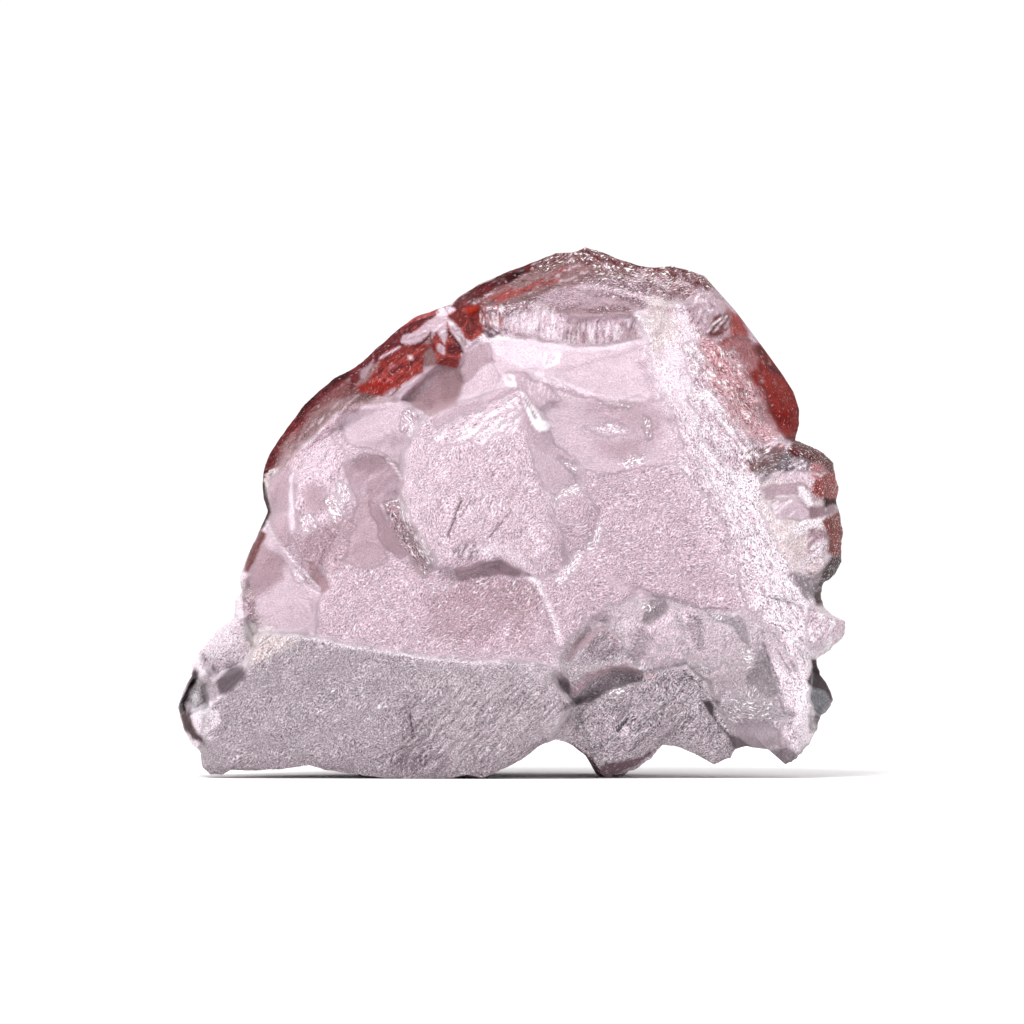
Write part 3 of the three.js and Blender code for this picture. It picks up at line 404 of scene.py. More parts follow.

# %% [markdown]
# The roof slopes back under the peak. It is a rubbly mix of skin, dark glassy bits and crumbs that
# sparkle, all drawn out along the slope. The sparkle is painted highlight, and the band under its step
# is painted shadow.

# %% The roof
MARKS += [
    patch("veil", "-3.5,58 10,62.5 16,62 22,59.5 17,58 3.5,58.5 -1.5,57", "deep mauve", "speckled", run=15,
        soft=1),
    streaks("red streaks", "-4,59 -3,60 2,63 9,65 12,64 11,63 8,61.5 -2,58.5", "brown", 20, 0.6, 0.05,
        "skinned", soft=1),
    streaks("dark red streaks", "-4,59 -2.5,60.5 1,61.9 6.8,63.5 6,61.8 -0.9,59.2", "rust", 20, 0.35, 0.5,
        "skinned", strength=0.8),
    streaks("pink streaks", "-1.5,59.2 5.5,62.8 9.8,64.2 11.5,62.8 8.8,61.4 4.8,60.2 1,59.2", "pink", 22,
        0.22, 0.66, soft=0.6, strength=0.7),
    streaks("black skin", "-8,58.5 -5.2,61 5,65.9 6.2,65.4 4.5,63.9 -1.5,61.4 -4.2,59 -6,58.4", "maroon", 25,
        0.45, 0.3, "skinned", soft=0.3),
    streaks("blackest skin", "-6.2,59.5 -3.5,61.4 4.5,65 3,63.2 -2.8,60.8 -4.8,59.5", "dark maroon", 25, 0.4,
        0.5),
    streaks("brown skin", "8,64 8.5,66 11,66 17,64 22,63.5 25,61.5 25.5,59.5 23,59 16,62", "brown", -10, 0.5,
        0.3, "sparkling", soft=0.8),
    streaks("pink rubble", "2.5,63.5 5,65.5 8.5,66.1 10.5,65.8 9.2,64.5 4,63", "brown", 20, 0.4, 0.35,
        "sparkling", soft=0.5),
    streaks("maroon flecks", "4.1,64.2 9.8,66.1 17.2,64.1 22.2,63.6 25.5,60.8 24,59.8 21,62 16,63.2"
        " 12.2,63.8", "maroon", -35, 0.35, 0.6, "skinned"),
    # painted highlight: white flecks where the skin's tiny facets would flash
    streaks("white flecks", "3.5,63.8 4.2,65 6.2,65.8 9.8,66.1 11.5,65.4 9,64.2 6,63.8 4.5,63", "pale pink",
        30, 0.28, 0.68, "white"),
    streaks("glints of the black skin", "-5.2,59 -4.2,60.2 -2.5,61.4 5,65 4.5,63.9 -1.8,61 -4.5,59", "pink",
        25, 0.28, 0.62),
    streaks("crumbs of the right roof", "11.5,64.2 22.2,62.5 24,60 13.5,61 11.5,62.5", "pale pink", -40,
        0.28, 0.6, soft=0.6, strength=0.6),
    streaks("smoky spot of the right roof", "19,62 22,62 24,60.5 22.5,59 20.5,60", "pink brown", 40, 0.4,
        0.45, soft=0.8),
    streaks("pink flank", "6,61 9.5,61.5 12,60.5 9,59 2,58.5 3.5,60", "dusky pink", 15, 0.6, 0.2, "waxy",
        soft=0.8),
    line("pale ridge", "8.5,61 11.8,60.9 16,59.8 19,58.6", 0.7, "soft pink", soft=0.5, rise=0.3),
    # painted shadow: the roof's step overhangs here, so the band under it is painted darker
    patch("grey band", "5.5,58 7.5,58.5 9.8,57.8 14.8,58 15.6,57 11,56.9 6.8,57.1", "mauve", "smooth",
        soft=0.3, strength=0.6),
    streaks("shadow under the ridge", "9.8,59.8 12.5,59.9 18,58 16,57.8 13.5,58.8 11,58.8 9.2,58.2 8,58.5",
        "dusky pink", -15, 0.5, 0.2, "smooth", soft=0.5, strength=0.8),
    streaks("pale end of the grey band", "15,58 17.2,58.5 19,58 18.5,56.5 16.2,56", "milk", 10, 0.3, 0.5,
        "waxy", soft=0.8),
]
print("marks so far:", len(MARKS))

# %% [markdown]
# Fine upright lines on the face under the roof are growth lines, the only crystal face that shows in the
# break. The plate below is smooth and fades from white to pink. Painted highlights run along its top edge
# and its lower lip, with painted shade under it.

# %% The striated face and the upper plate
MARKS += [
    # striated face
    streaks("grown lines, strong", "4.1,56.5 6.2,56.9 16,56.8 16,54.8 11,53.9 6.2,54", "deep mauve", 90, 0.2,
        0.55, soft=0.5, strength=0.8),
    streaks("darkest grown lines", "7,56.8 9.2,56.8 9.2,53.8 7.2,53.9", "mauve", 90, 0.25, 0.3, soft=0.5),
    streaks("light between the grown lines", "6,56.5 14.8,56.8 14.8,54.5 11,54 6.2,54.1", "white", 88, 0.2,
        0.55, strength=0.5),
    streaks("grown lines, pale", "-1.5,58.2 3.5,59 5.5,58 6,54.5 2.2,55 -1.5,56.2", "white", 90, 0.2, 0.5,
        soft=0.6, strength=0.6),
    streaks("pink between the lines", "-3.5,58.5 1,59 4.5,58.5 4.5,55 -3,56.2", "dusky pink", 88, 0.26, 0.6,
        soft=0.6, strength=0.7),
    streaks("red between the lines", "-4.2,58.8 -1.2,59 -0.8,56 -3.8,56", "rust", 88, 0.22, 0.4, soft=0.3,
        strength=0.7),
    streaks("white between the lines", "-4.2,58.5 -1,58.8 -1,55.8 -4.2,56.5", "white", 90, 0.2, 0.55,
        soft=0.3, strength=0.8),
    patch("smoky corner", "13.8,55.8 15.8,56 16,54.5 13.8,54.4", "mauve", soft=0.5, strength=0.8),
    line("foot", "3.5,54.4 6.6,53.8 9.8,53.6 16,54.6", 0.3, "mauve", soft=0.3, rise=-0.2),
    streaks("dark crumbs", "-3.5,56.5 -2.2,56.2 -1.5,55.2 -2.8,54.6 -3.4,55.5", "dark mauve", -40, 0.3, 0.45,
        "lined", soft=0.3),
    streaks("smoky foot", "-1.5,56 5.5,54.1 2.2,54.2 -1.5,55", "mauve", -15, 0.3, 0.4),
    streaks("white chips", "-3,54.4 -1.5,55 3.5,54.2 -2,53.9", "snow", -10, 0.24, 0.5, "white", soft=0.3),
    # upper plate
    patch("pink facet", "-6.5,51.8 -5.8,53 -4,53.9 -2.9,53.9 -2.5,52.5 -2,51.6 -3.5,51.1 -4.8,49.8 -6,49"
        " -6.4,50.5", "dusky pink", "smooth", run=60, soft=0.3),
    # painted highlight: the top edge of the upper plate, painted white where it catches the light
    patch("bright top", "-2.8,54 -0.2,54.5 3.5,54.4 9.8,53.4 16.2,54.5 16.8,54.1 13.5,53.1 6.8,52.8 3.5,50.8"
        " 1.5,50.8 -0.9,51.5 -2.1,52.2", "milk", "smooth", run=-8, soft=0.6),
    patch("pale zone under the bright top", "4,52 7,53 11,53 17,54 17.5,51 15,50.5 6,51", "pale pink",
        soft=2, strength=0.7),
    patch("pink zone", "4.5,50 8,51 18,50.5 18,48.5 16,47 12,47 8,48 5.5,49", "pink", run=-20, soft=1.5,
        strength=0.6),
    # painted highlight along the plate's lower lip, above the painted shade under it
    line("bright lower lip", "2,50.6 9.8,47.6 12.9,47 16.6,47", 0.5, "milk", soft=0.4),
    line("shade under the upper plate", "-0.8,50.5 1,50.4 3.5,49 9.1,47.1 12.9,46.5 17.2,46.5", 0.7, "mauve",
        soft=0.8, strength=0.4),
    streaks("painted_sparks", "3.5,52.5 6.2,52.8 6.8,51.6 4.2,51", "snow", 80, 0.25, 0.5, "white", soft=0.5),
    line("first line", "6,50.5 14.8,53", 0.2, "dusky pink", soft=0.4, strength=0.7),
]
print("marks so far:", len(MARKS))

# %% [markdown]
# The big rounded nodule stands furthest forward. Its cap is streaked, with painted highlights along it.
# Its foot is undercut, with painted shade under the lip, and a glassy wedge and a scoop lie to the right
# of it.

# %% The nodule, the scoop and the shoulder
MARKS += [
    # nodule
    patch("smooth left flank", "-12,42 -13.5,38 -14,34.5 -12.5,31 -10.5,28 -9,28.5 -11,31.5 -12,34.5"
        " -11,41.5", "pale pink", "waxy", soft=1.4, strength=0.8),
    patch("smooth lip", "-6,29 -1.5,29 2,27 1.5,26 -1.5,27.5 -8,27 -9,27.5", "milk", "waxy", soft=0.8),
    # cut in by rise, and also painted darker: painted shade under the nodule's lip
    patch("undercut", "-7.1,26 -2.4,27.1 -0.5,26.8 2.5,25.1 1,24.9 -1.5,25.4 -6.5,24.6", "mauve", "smooth",
        soft=0.25, rise=-0.25, strength=0.9),
    streaks("brown ground below the undercut", "-8,25 3,24.5 4,22 1,20.5 -4,21 -7.5,22.5", "mauve", 50, 0.5,
        0.35, "sugary", soft=1, strength=0.7),
    line("first crack", "-6.2,34.6 -7.9,30", 0.25, "deep mauve", rise=-0.3),
    line("second crack", "-0.2,32.9 -2.9,29.8", 0.2, "mauve", rise=-0.22),
    streaks("scratches", "-10,37 -5,38 3.5,36 5,32 1,29 -5,29 -9.5,32", "dusky pink", 68, 0.3, 0.69, soft=2,
        rise=-0.1),
    streaks("pits", "-7.8,28.5 -4.6,29.5 -4,27.5 -5.9,26.8 -7.5,27", "dusky pink", 80, 0.3, 0.5, soft=1,
        rise=-0.3),
    # painted highlight on the ledge of the step, where it catches the light
    streaks("bright rim of the step", "5,34.5 5,32.5 3.5,29 2,27 3,27 5,29 6,32.5 6,34", "milk", 60, 0.4,
        0.4, soft=1.2, strength=0.5),
    patch("grey lip over the cap", "-9,45.5 -1.8,48.1 0.2,48.5 0.8,47.9 -1.5,47.2 -9.5,43.2 -10,44.5",
        "soft pink", "smooth", run=25, soft=0.5),
    patch("first streaks of the cap", "-10,42 -6,45 1,47.5 1,46.5 -8.5,41", "pink", "silky", run=28,
        soft=0.9),
    patch("second streaks of the cap", "-5,42 1,46 1,45.5 -4,41", "pale pink", "silky", run=34, soft=0.9),
    # painted highlight: fine white lines along the cap where its grains would flash
    streaks("lines along the cap", "-9.8,41.8 -5.2,45.2 0.8,47.5 1.1,43.8 -1.5,42 -4,41.2 -7,42 -8.5,41.2",
        "snow", 32, 0.17, 0.6, soft=0.6, strength=0.85),
    streaks("bright facet at the peak", "-1.1,50.2 0.2,50 0.6,48.5 -0.6,48.5 -1.2,49.4", "snow", -80, 0.3,
        0.3, "white", soft=0.3),
    streaks("lines of the facet beside the peak", "0.8,49.8 2.9,49.5 5.5,47.5 4.5,45.8 2,47.5", "pale pink",
        -78, 0.2, 0.55),
    # painted shade: this facet faces right, away from the lamp, and is painted darker
    patch("dark facet under the peak", "0.9,47.8 2.6,44 4.6,42.9 8,38.8 6.2,39.2 3.5,40.8 1.2,43.2",
        "soft pink", "smooth"),
    streaks("glassy wedge", "1,47.9 1.8,47.4 3.6,44.4 4.6,43.8 4.6,43.1 3.5,42.9 2.4,43.9", "snow", -60, 0.3,
        0.25, "white", soft=0.25, rise=0.3),
    line("dark slit of the wedge", "1.5,47.1 2.9,44.6", 0.35, "smoke", soft=0.2, rise=-0.15),
    painted_glints("crumbs at the end of the crease", "4.8,40 5.8,40.2 8.2,38.5 7.8,37.8", run=-20),
    painted_glints("glints of the ledge", "4.5,34.5 8,37 9,36 5.5,34", run=30),
    # scoop and shoulder
    # painted shade: the scoop lies hollow under the upper plate's edge, so its top and belly are painted
    # darker
    patch("dark top of the scoop", "9,47 16,46.5 18,45.5 18.5,42 17,41 16,43 9,45", "dusky pink", run=-10,
        soft=2, strength=0.7),
    patch("dark belly of the scoop", "10,42 16,42 16,40 13,39 10.5,40", "dusky pink", soft=2, strength=0.8),
    painted_glints("sparks above the scoop", "11.2,46.5 15.2,46.4 14.5,45.8", run=-5),
    painted_glints("sparkling lens of the scoop", "9,43.5 13,44 15,43 14,42.5 12,42.5", run=3),
    painted_glints("sparks right of the scoop", "16,45.2 17,44.5 17.5,42.2 16.8,41.5", run=80,
        finish="sparse glints"),
    painted_glints("sparks below the scoop", "13.5,38.8 14.5,39.8 16,40.1 16.5,39.5 14.2,38.2", run=15),
    patch("fold of the shoulder", "11,25.5 19,22.2 18.5,21.5 12.9,23.2", "pink", "smooth", soft=0.5,
        rise=-0.1),
    patch("sparkling ridge of the step", "5.5,24.5 6,26 11,31 11,30 10,28 6,24", "pale pink", "painted_glinting",
        run=45, soft=1, strength=0.6),
    streaks("dark side of the step", "4,29 6,32 8.5,33 10.5,32 11,30.5 7,27 5,26", "soft pink", 40, 0.5, 0.3,
        soft=1.6),
    streaks("brownish middle of the slope", "-11,23 -1.5,24 3,21.5 2,17 -4,16 -10,18", "mauve", 60, 0.8, 0.3,
        soft=2, strength=0.7),
    line("seam of the slope", "2.5,25 4,22.5 5.2,19.8 6,17", 0.6, "white", soft=0.6, strength=0.6),
]
print("marks so far:", len(MARKS))

# %% [markdown]
# On the left are a silky lobe with a smooth valley in it, a cone of sugary quartz, and crumbs and dark
# skin at the corner.

# %% The left side
MARKS += [
    # left lobe
    patch("light band round the lobe", "-30,36.5 -24,43.5 -21,45.5 -20,44.5 -25,41 -28,34.5", "pink",
        "silky", run=50, soft=1, strength=0.5),
    patch("smooth top", "-21.5,44.5 -20,46 -14,47 -11,45 -13,42 -14,39 -16.5,40.5 -19.5,41 -21,42.5", "pink",
        "smooth", run=10, soft=1.5),
    patch("sugar of the left lobe", "-27,38 -26,41 -23,43 -21,42 -20,38 -20,35 -21.5,31 -25.5,28.5 -26.5,31"
        " -27,34.5", "pink", "silky", run=52, soft=1.5),
    patch("smooth patch", "-26.5,36 -25,37 -22.8,36.2 -22.8,34 -24.5,33 -26.2,33.5", "dusky pink", "smooth",
        soft=1.5),
    patch("smooth left face", "-30.5,37 -28,38.5 -27.5,37 -27.5,29 -28.5,28.5 -30,31", "dusky pink",
        "smooth", run=80, soft=0.8),
    patch("bright strip", "-28,37.5 -27,38 -27,36 -27,31 -27.5,30", "milk", "smooth", run=88, soft=0.8),
    patch("mottled foot", "-27,30 -24,31 -21,32.5 -19,31 -20,27 -23,25.5 -25.5,26", "dusky pink", "waxy",
        run=50, soft=1.2),
    streaks("brown mottles of the foot", "-26.5,29.5 -23,31 -20,29.5 -21,27 -24,26 -26,27", "mauve", 60, 0.5,
        0.5, soft=0.8),
    painted_glints("first glints", "-23.5,35 -22,35.5 -21,33 -21,31.5 -22,31", run=-65),
    painted_glints("second glints", "-21.5,37 -20,36.5 -20,34.5 -21,33.5 -21.8,35.2", run=-65),
    painted_glints("third glints", "-26.5,32.5 -24.8,33 -23.8,31.2 -25,29.8 -26.2,30.5", run=-60,
        finish="sparse glints"),
    patch("valley", "-20.5,39 -19,40 -16,40 -14.5,39 -13.5,37 -14,35.5 -15,34 -19,34 -20,36", "dusky pink",
        "smooth", run=60, soft=1),
    streaks("streaks of the valley", "-20,38 -16,39 -14,37 -15,34.5 -18,34.5 -20,36", "soft pink", 50, 0.5,
        0.5, soft=0.8),
    patch("dark top of the valley", "-20,39.5 -18,40 -15.5,40 -15,39 -16.5,38 -19,38", "deep mauve",
        soft=0.8, strength=0.5),
    line("white ledge of the valley", "-15.5,39.6 -14.5,38.5 -13.6,37", 0.2, "white", rise=0.15),
    patch("glints beside the nodule", "-13.8,45.5 -12.8,46 -11.5,44.8 -11.5,43.2 -12.5,42 -13.5,43.2",
        "soft pink", "painted_glinting", run=-60, soft=0.8),
    patch("smooth left flank of the cone", "-18.5,34 -17.5,34 -15,27 -19,26 -21,27", "dusky pink", "smooth",
        run=60, soft=1.2),
    # painted shade: the cone's right flank faces away from the lamp and is painted darker
    patch("dark right flank of the cone", "-18,34.5 -16.5,34 -14.5,31 -13,27.5 -14,27 -16,29", "mauve",
        "smooth", run=-60, soft=0.8),
    patch("sparkling strip", "-16,34.2 -14.5,34.8 -13.2,32.8 -9.8,25.8 -10.8,25 -13,27.5", "mauve",
        "sparkling", run=-60, soft=0.6),
    painted_glints("lights of the strip", "-15,34.5 -14,35 -9,26.5 -11,27", run=-60),
    # lower left
    streaks("clear left corner", "-33,27.5 -31,29.5 -28,27 -28.5,25 -31,22.5 -32.5,22", "mauve", 60, 0.5,
        0.12, "smooth", soft=1),
    streaks("maroon edge beside the lobe", "-31.8,36.8 -30.8,36.8 -30.1,33 -30.8,31.2 -31.8,30.2 -32.2,32",
        "dark maroon", 85, 0.4, 0.2, "skin", soft=0.3),
    streaks("rusty edge beside the corner", "-33.5,25.5 -33.2,27.5 -31.2,31 -30.8,30.2 -31.2,28.5"
        " -32.8,25.5", "red brown", 65, 0.4, 0.15, "skinned"),
    streaks("crumbs along the left edge", "-33.2,25.1 -32.5,24.5 -31.2,19.8 -32.5,19 -33.5,20.8 -34,23.2",
        "mauve", 80, 0.3, 0.4, "crumbly"),
    patch("brown pocket", "-25.5,26.8 -24.5,27 -22.5,23.5 -23.5,23.2 -24.8,24.8", "pink brown", "smooth",
        soft=0.5, rise=-0.4),
    line("white edge of the left lobe", "-30.5,31.8 -29.5,29.8 -26.5,26.2 -23.8,23.5", 0.15, "white",
        rise=0.1),
    painted_glints("white chip of the corner", "-27.5,25.8 -26.5,25.9 -25.5,24.5 -26.8,24.2", run=-40, soft=0.5),
    # left bottom
    streaks("beige sugar", "-33,20 -26.5,17 -32,14.5 -33,16", "warm milk", 40, 0.4, 0.35, "crumbly",
        soft=1.2),
    patch("grey pocket", "-36.6,12 -35,13.8 -33,14.1 -32.8,12.5 -34.5,10.8 -36,10.5", "dark grey", "smooth",
        soft=0.6, rise=-0.4),
    streaks("clear grey corner", "-39.1,12.5 -37.5,13 -36.5,11.5 -36.8,9.5 -38.5,9.2", "glass", 50, 0.4, 0.2,
        "glassy", soft=0.6),
    streaks("dark left corner", "-39.4,13.5 -41.8,9 -41.5,7.8 -40,7.8 -40.2,10 -38.8,12.5", "black skin", 70,
        0.4, 0.1, "skin", soft=0.5),
    streaks("brown left corner", "-41.5,8 -40,8 -38,4.2 -39.8,4.8 -41,6", "dark maroon", 70, 0.4, 0.2,
        "skin", soft=0.5),
    streaks("small white crumb", "-40.5,10.2 -39.5,11.8 -38.6,11.5 -38.6,9.5 -39.8,8.5", "snow", 30, 0.3,
        0.15, "crumbly", rise=0.3),
    streaks("bright sugar of the corner", "-39,9 -37,9.5 -36,7 -37.5,5 -39,6.5", "white", 40, 0.35, 0.4,
        "crumbly", soft=1),
]
print("marks so far:", len(MARKS))

# %% [markdown]
# The foot is smoky, coarse quartz in one long plate. Its grey is partly painted shade, as it faces down
# and away from the lamp. The block right of it is darker still, with a hollow above, painted dark as
# shade.

# %% The foot and the dark block
MARKS += [
    # foot
    line("pale edge", "-31.2,18.4 -28.4,17.8 -25.2,17.5 -20,16.4 -9,14.8 -5.2,14.4 -1.5,14.6", 0.3, "white",
        soft=0.4, strength=0.6),
    streaks("scratches", "-14,9.5 -5,12.5 7.5,9.5 3.5,4.5 -1.5,1 -9,0 -15,1", "grey", 45, 0.3, 0.5, soft=2.5,
        rise=-0.2, strength=0.8),
    streaks("flecks", "-28,11 -21.5,12 -11.5,11 -14,7 -21.5,6 -26.5,7.5", "snow", 30, 0.22, 0.75, soft=2),
    line("crack", "-12.6,8 -12.2,5.2", 0.25, "dark grey", rise=-0.3),
    # painted light: the foot's right end, which the lamp leaves darker, is painted lighter
    patch("lighter end", "-10,14 6,13.5 7,9.5 5.5,5 0,2 -9,1 -11.5,7", "glass", soft=5, strength=0.55),
    streaks("pits", "-16,3 -10,3 -10.5,1 -14,1 -16,1.5", "grey", 80, 0.35, 0.55, soft=1, rise=-0.3),
    # painted shade along the foot's lower edge, next to the ground
    line("dark lower edge", "-38.2,1 -31.5,0.9 -25.2,1.4 -9,0.2 -2.5,0.5 -0.8,1.2 1.5,3.2 4.1,4.8", 0.6,
        "grey", soft=0.6, strength=0.6),
    # dark block
    patch("lilac ground round the lumps", "5,15.5 12,22 17,22.5 30.5,20.5 34,16.5 35,13.5 31,15 27,14.5"
        " 25.5,13 23.5,14 17,15 8,10 6,11", "smoky milk", "waxy", run=40, soft=1.5, strength=0.8),
    patch("arched block", "6,15 7.5,17 10,18.5 12,19 14,16 17,14 13.5,14 10,13.5 7,11", "smoke", "coarse",
        run=45, soft=0.8),
    patch("rubble", "6,8 17,13.5 22,12.5 27,5 22,4 16,4 11,1 8,4", "smoke", "rubbly", run=45, soft=1.2),
    streaks("scratches", "6,8 18.5,14 23.5,13 25,8 27,4.5 16,4 11,1", "dark grey", 45, 0.32, 0.55, soft=1,
        rise=-0.12, strength=0.45),
    streaks("painted_sparks", "8.5,8 13.5,11 21,12.5 25,8 26.5,5 18.5,4.5 11,2.5", "pale pink", 40, 0.22, 0.72,
        "white", soft=1),
    streaks("pale chunk", "4.1,7.5 6.2,8.8 8,8 7.8,5.8 6.8,4.8 4.5,4.8", "glass", 30, 0.5, 0.15, "waxy",
        soft=0.5),
    # painted shade: the block's underside and lower lip, turned down to the ground, are painted dark
    patch("underside", "10.8,0.5 11.5,1.8 16,2.8 18.5,4.2 16.8,2.5 14.5,1.2 12,0", "dark mauve", "glassy",
        soft=0.3),
    line("dark lip", "7.5,4 9.8,2.2 10.8,0.8", 0.5, "dark brown", soft=0.3),
    patch("slit", "13.4,5.4 13.8,5.9 14.4,6.1 14,5.6", "milk", "sugary", soft=0.2),
    line("crack", "13.1,5.9 13.8,6.9 14.4,7.4", 0.3, "shadow", rise=-0.3),
    # painted shade: the hollow under the lumps and its mouth are painted dark grey, as shade falls in them
    streaks("hollow", "7.5,10.2 8.8,11.8 11,13 13,13.5 14.5,13.1 15,12.6 16.6,12.6 11.4,11.4 11,10.2 8.5,9.2"
        " 6.8,9", "dark grey", 15, 0.6, 0.03, "coarse", soft=0.25, strength=0.45),
    line("roof of the hollow", "7.8,10.8 9.5,12.6 11.8,13.6 13.8,13.9 17.2,12.8", 0.9, "mauve", soft=0.4,
        rise=0.1),
    streaks("mouth of the hollow", "6,8.5 7.5,10 10,11.2 11,10.2 8.2,9", "dark grey", 20, 0.4, 0.3, "coarse",
        strength=0.7),
    painted_glints("glints in the hollow", "11.2,10.5 11.5,11.5 13.5,11.5 14,10.8 12.5,10.2"),
]
print("marks so far:", len(MARKS))

# %% [markdown]
# The quartz at the lower right is nearly clear, so it looks smoky, with flat facets that flash at their
# edges. These bright edges are painted highlights, and the valley between the lumps has painted shade.

# %% The clear lumps, the clear block and the grey crystal
MARKS += [
    # lumps
    streaks("smoky facet over the lumps", "15.8,19.2 16.2,20.8 17.2,22 19,22.4 19.4,21.5 18.5,20.2 17.2,19",
        "grey", 30, 0.5, 0.05, "glassy", strength=0.8),
    painted_glints("glints over the lumps", "15.8,21.5 18.5,22 17.2,21.1 16,21"),
    streaks("scratches of the left lump", "14.5,17 17,19.5 21.5,21 22,17 21,14.5 16,14", "pale pink", 45,
        0.28, 0.5, soft=0.8),
    streaks("shade of the left lump", "14.2,17 16,18.5 17.5,17.5 16,15 14.5,14.5", "grey", 45, 0.4, 0.25,
        soft=1, strength=0.7),
    streaks("shade between the lumps", "21.5,20.5 22.8,20.2 23.8,18.5 24,16.2 23,15.2", "grey", 60, 0.4, 0.2,
        "coarse", soft=0.6, strength=0.7),
    # painted shade along the valley between the lumps, which is also cut in by rise
    line("valley between the lumps", "20.5,20.5 21.2,18.5 21,16.8 21.8,15", 0.9, "smoke", soft=0.8,
        rise=-0.25, strength=0.6),
    streaks("smoky flank of the right lump", "24,20.5 28.5,20 29.4,18 29.5,16 28.2,17 27,18.8 25,19.5",
        "smoke", -20, 0.5, 0.15, "glassy", soft=0.5),
    painted_glints("glints of the right lump", "24.5,20.5 26.2,20.5 26.5,19.5 25,19.5"),
    patch("smooth belly of the lumps", "19,13.5 22.2,15.5 23.5,14.8 22.2,14 20.5,13.5", "smoky milk",
        "smooth"),
    streaks("bubbles under the lumps", "21.5,14 22.5,14.6 24,13.8 24.2,12.8 23,12.2 21.8,12.8", "glass", 30,
        0.35, 0.25, "crumbly", soft=0.3, rise=0.4),
    streaks("chips under the bubbles", "23.8,12.8 25,13.2 25.8,11.5 25.5,9.8 24,10.2 23.2,11.5", "glass", 60,
        0.4, 0.15, "waxy", rise=0.3),
    patch("facet of the arch", "6.5,14.8 7.5,16.6 10.8,18.6 9.8,17 8.2,16 7.4,14.8", "mauve", "smooth",
        soft=0.25, strength=0.8),
    line("top of the arch", "9,17.5 10.2,18.4 11.2,18.8 13.2,16.6", 0.4, "mauve", soft=0.3, rise=-0.1),
    streaks("rough inside of the arch", "8.8,15.8 11.2,18.2 12.5,17.2 13.2,15.8 11.5,14.8 9.2,14.8", "grey",
        45, 0.35, 0.45, "coarse", soft=0.6),
    streaks("shelf of the arch", "6,14.2 9.8,14 13.5,15.2 17,14 16.8,13 13.8,14.2 11.5,14 8.5,12.8 7,11.2",
        "glass", 20, 0.5, 0.15, "sugary", soft=0.6),
    # clear block
    streaks("smoky pane", "29,11.8 29.8,14.2 31,16.5 33,10.8 31.8,9.8 29.8,10", "smoke", 65, 0.6, 0.08,
        "glassy"),
    line("edge of the pane", "31,16.8 33,11.8", 0.3, "grey", soft=0.3),
    painted_glints("crumbs over the pane", "28.2,16 29.8,15.8 30,14 28.8,13.5"),
    patch("sugar", "25.5,12 29,9.5 33,9 34,7.5 27,7 25.5,9", "smoke", "speckled", run=-8, soft=0.8),
    painted_glints("lights", "25.5,13 28,14.5 29,12 33.5,9 33.5,7.5 28.5,7.5 26,9.5", finish="sparse glints"),
    streaks("pale left", "24,12.5 27,14 29,13 28.5,11 26.5,9.5 25,10", "smoky milk", 20, 0.6, 0.2, "waxy",
        soft=0.8),
    streaks("smooth facet", "27.5,6.5 29,7.1 31.8,6.9 33.5,5.8 34.8,4.1 28.5,3.6 27.8,4.5", "grey", -15, 0.8,
        0.03, "smooth", soft=0.35, strength=0.7),
    patch("light on the smooth facet", "29,6.8 31.8,6.5 33.8,5.2 34.2,4.2 29.2,5.5", "glass", "smooth",
        soft=0.7, strength=0.4),
    patch("dark corner of the smooth facet", "27,5.2 28.2,5 29.5,4 29,3.4 27.2,3.8", "dark grey", "smooth"),
    streaks("seam of the blocks", "23.2,9.8 24.5,9.8 25.1,8.8 25.1,7.4 24.4,7.8", "shadow", -60, 0.5, 0.15,
        "smooth", rise=-0.25),
    line("crack between the blocks", "24.8,8 25.5,6.8 27.4,4.8 27.6,3.9", 0.3, "dark grey", soft=0.3,
        rise=-0.2),
    streaks("clear tip", "32,3.5 34,4 35.6,2.4 34,1.4", "grey", -40, 0.5, 0.2, "glassy"),
    # grey crystal
    patch("root", "36.5,12 37.8,14.5 39.2,12.8 40.8,9.5 40.2,9 38.8,10.5 37.2,11.2", "shadow", "smooth",
        soft=0.3),
    patch("blue-grey face", "37,11.4 38.8,10.6 40.1,9 39.5,7.9 37.9,8 37,9.5", "slate", "glassy"),
    patch("brown foot", "36.8,9.2 37.9,8 39,7.8 38.5,6 37,5.5", "glass", "smooth", run=-60),
]
print("marks so far:", len(MARKS))

# %% [markdown]
# A smooth face with a red skin meets the break at the right. Beside it a vein of frosted white quartz
# runs down to the ground, full of flecks and threads along its length.

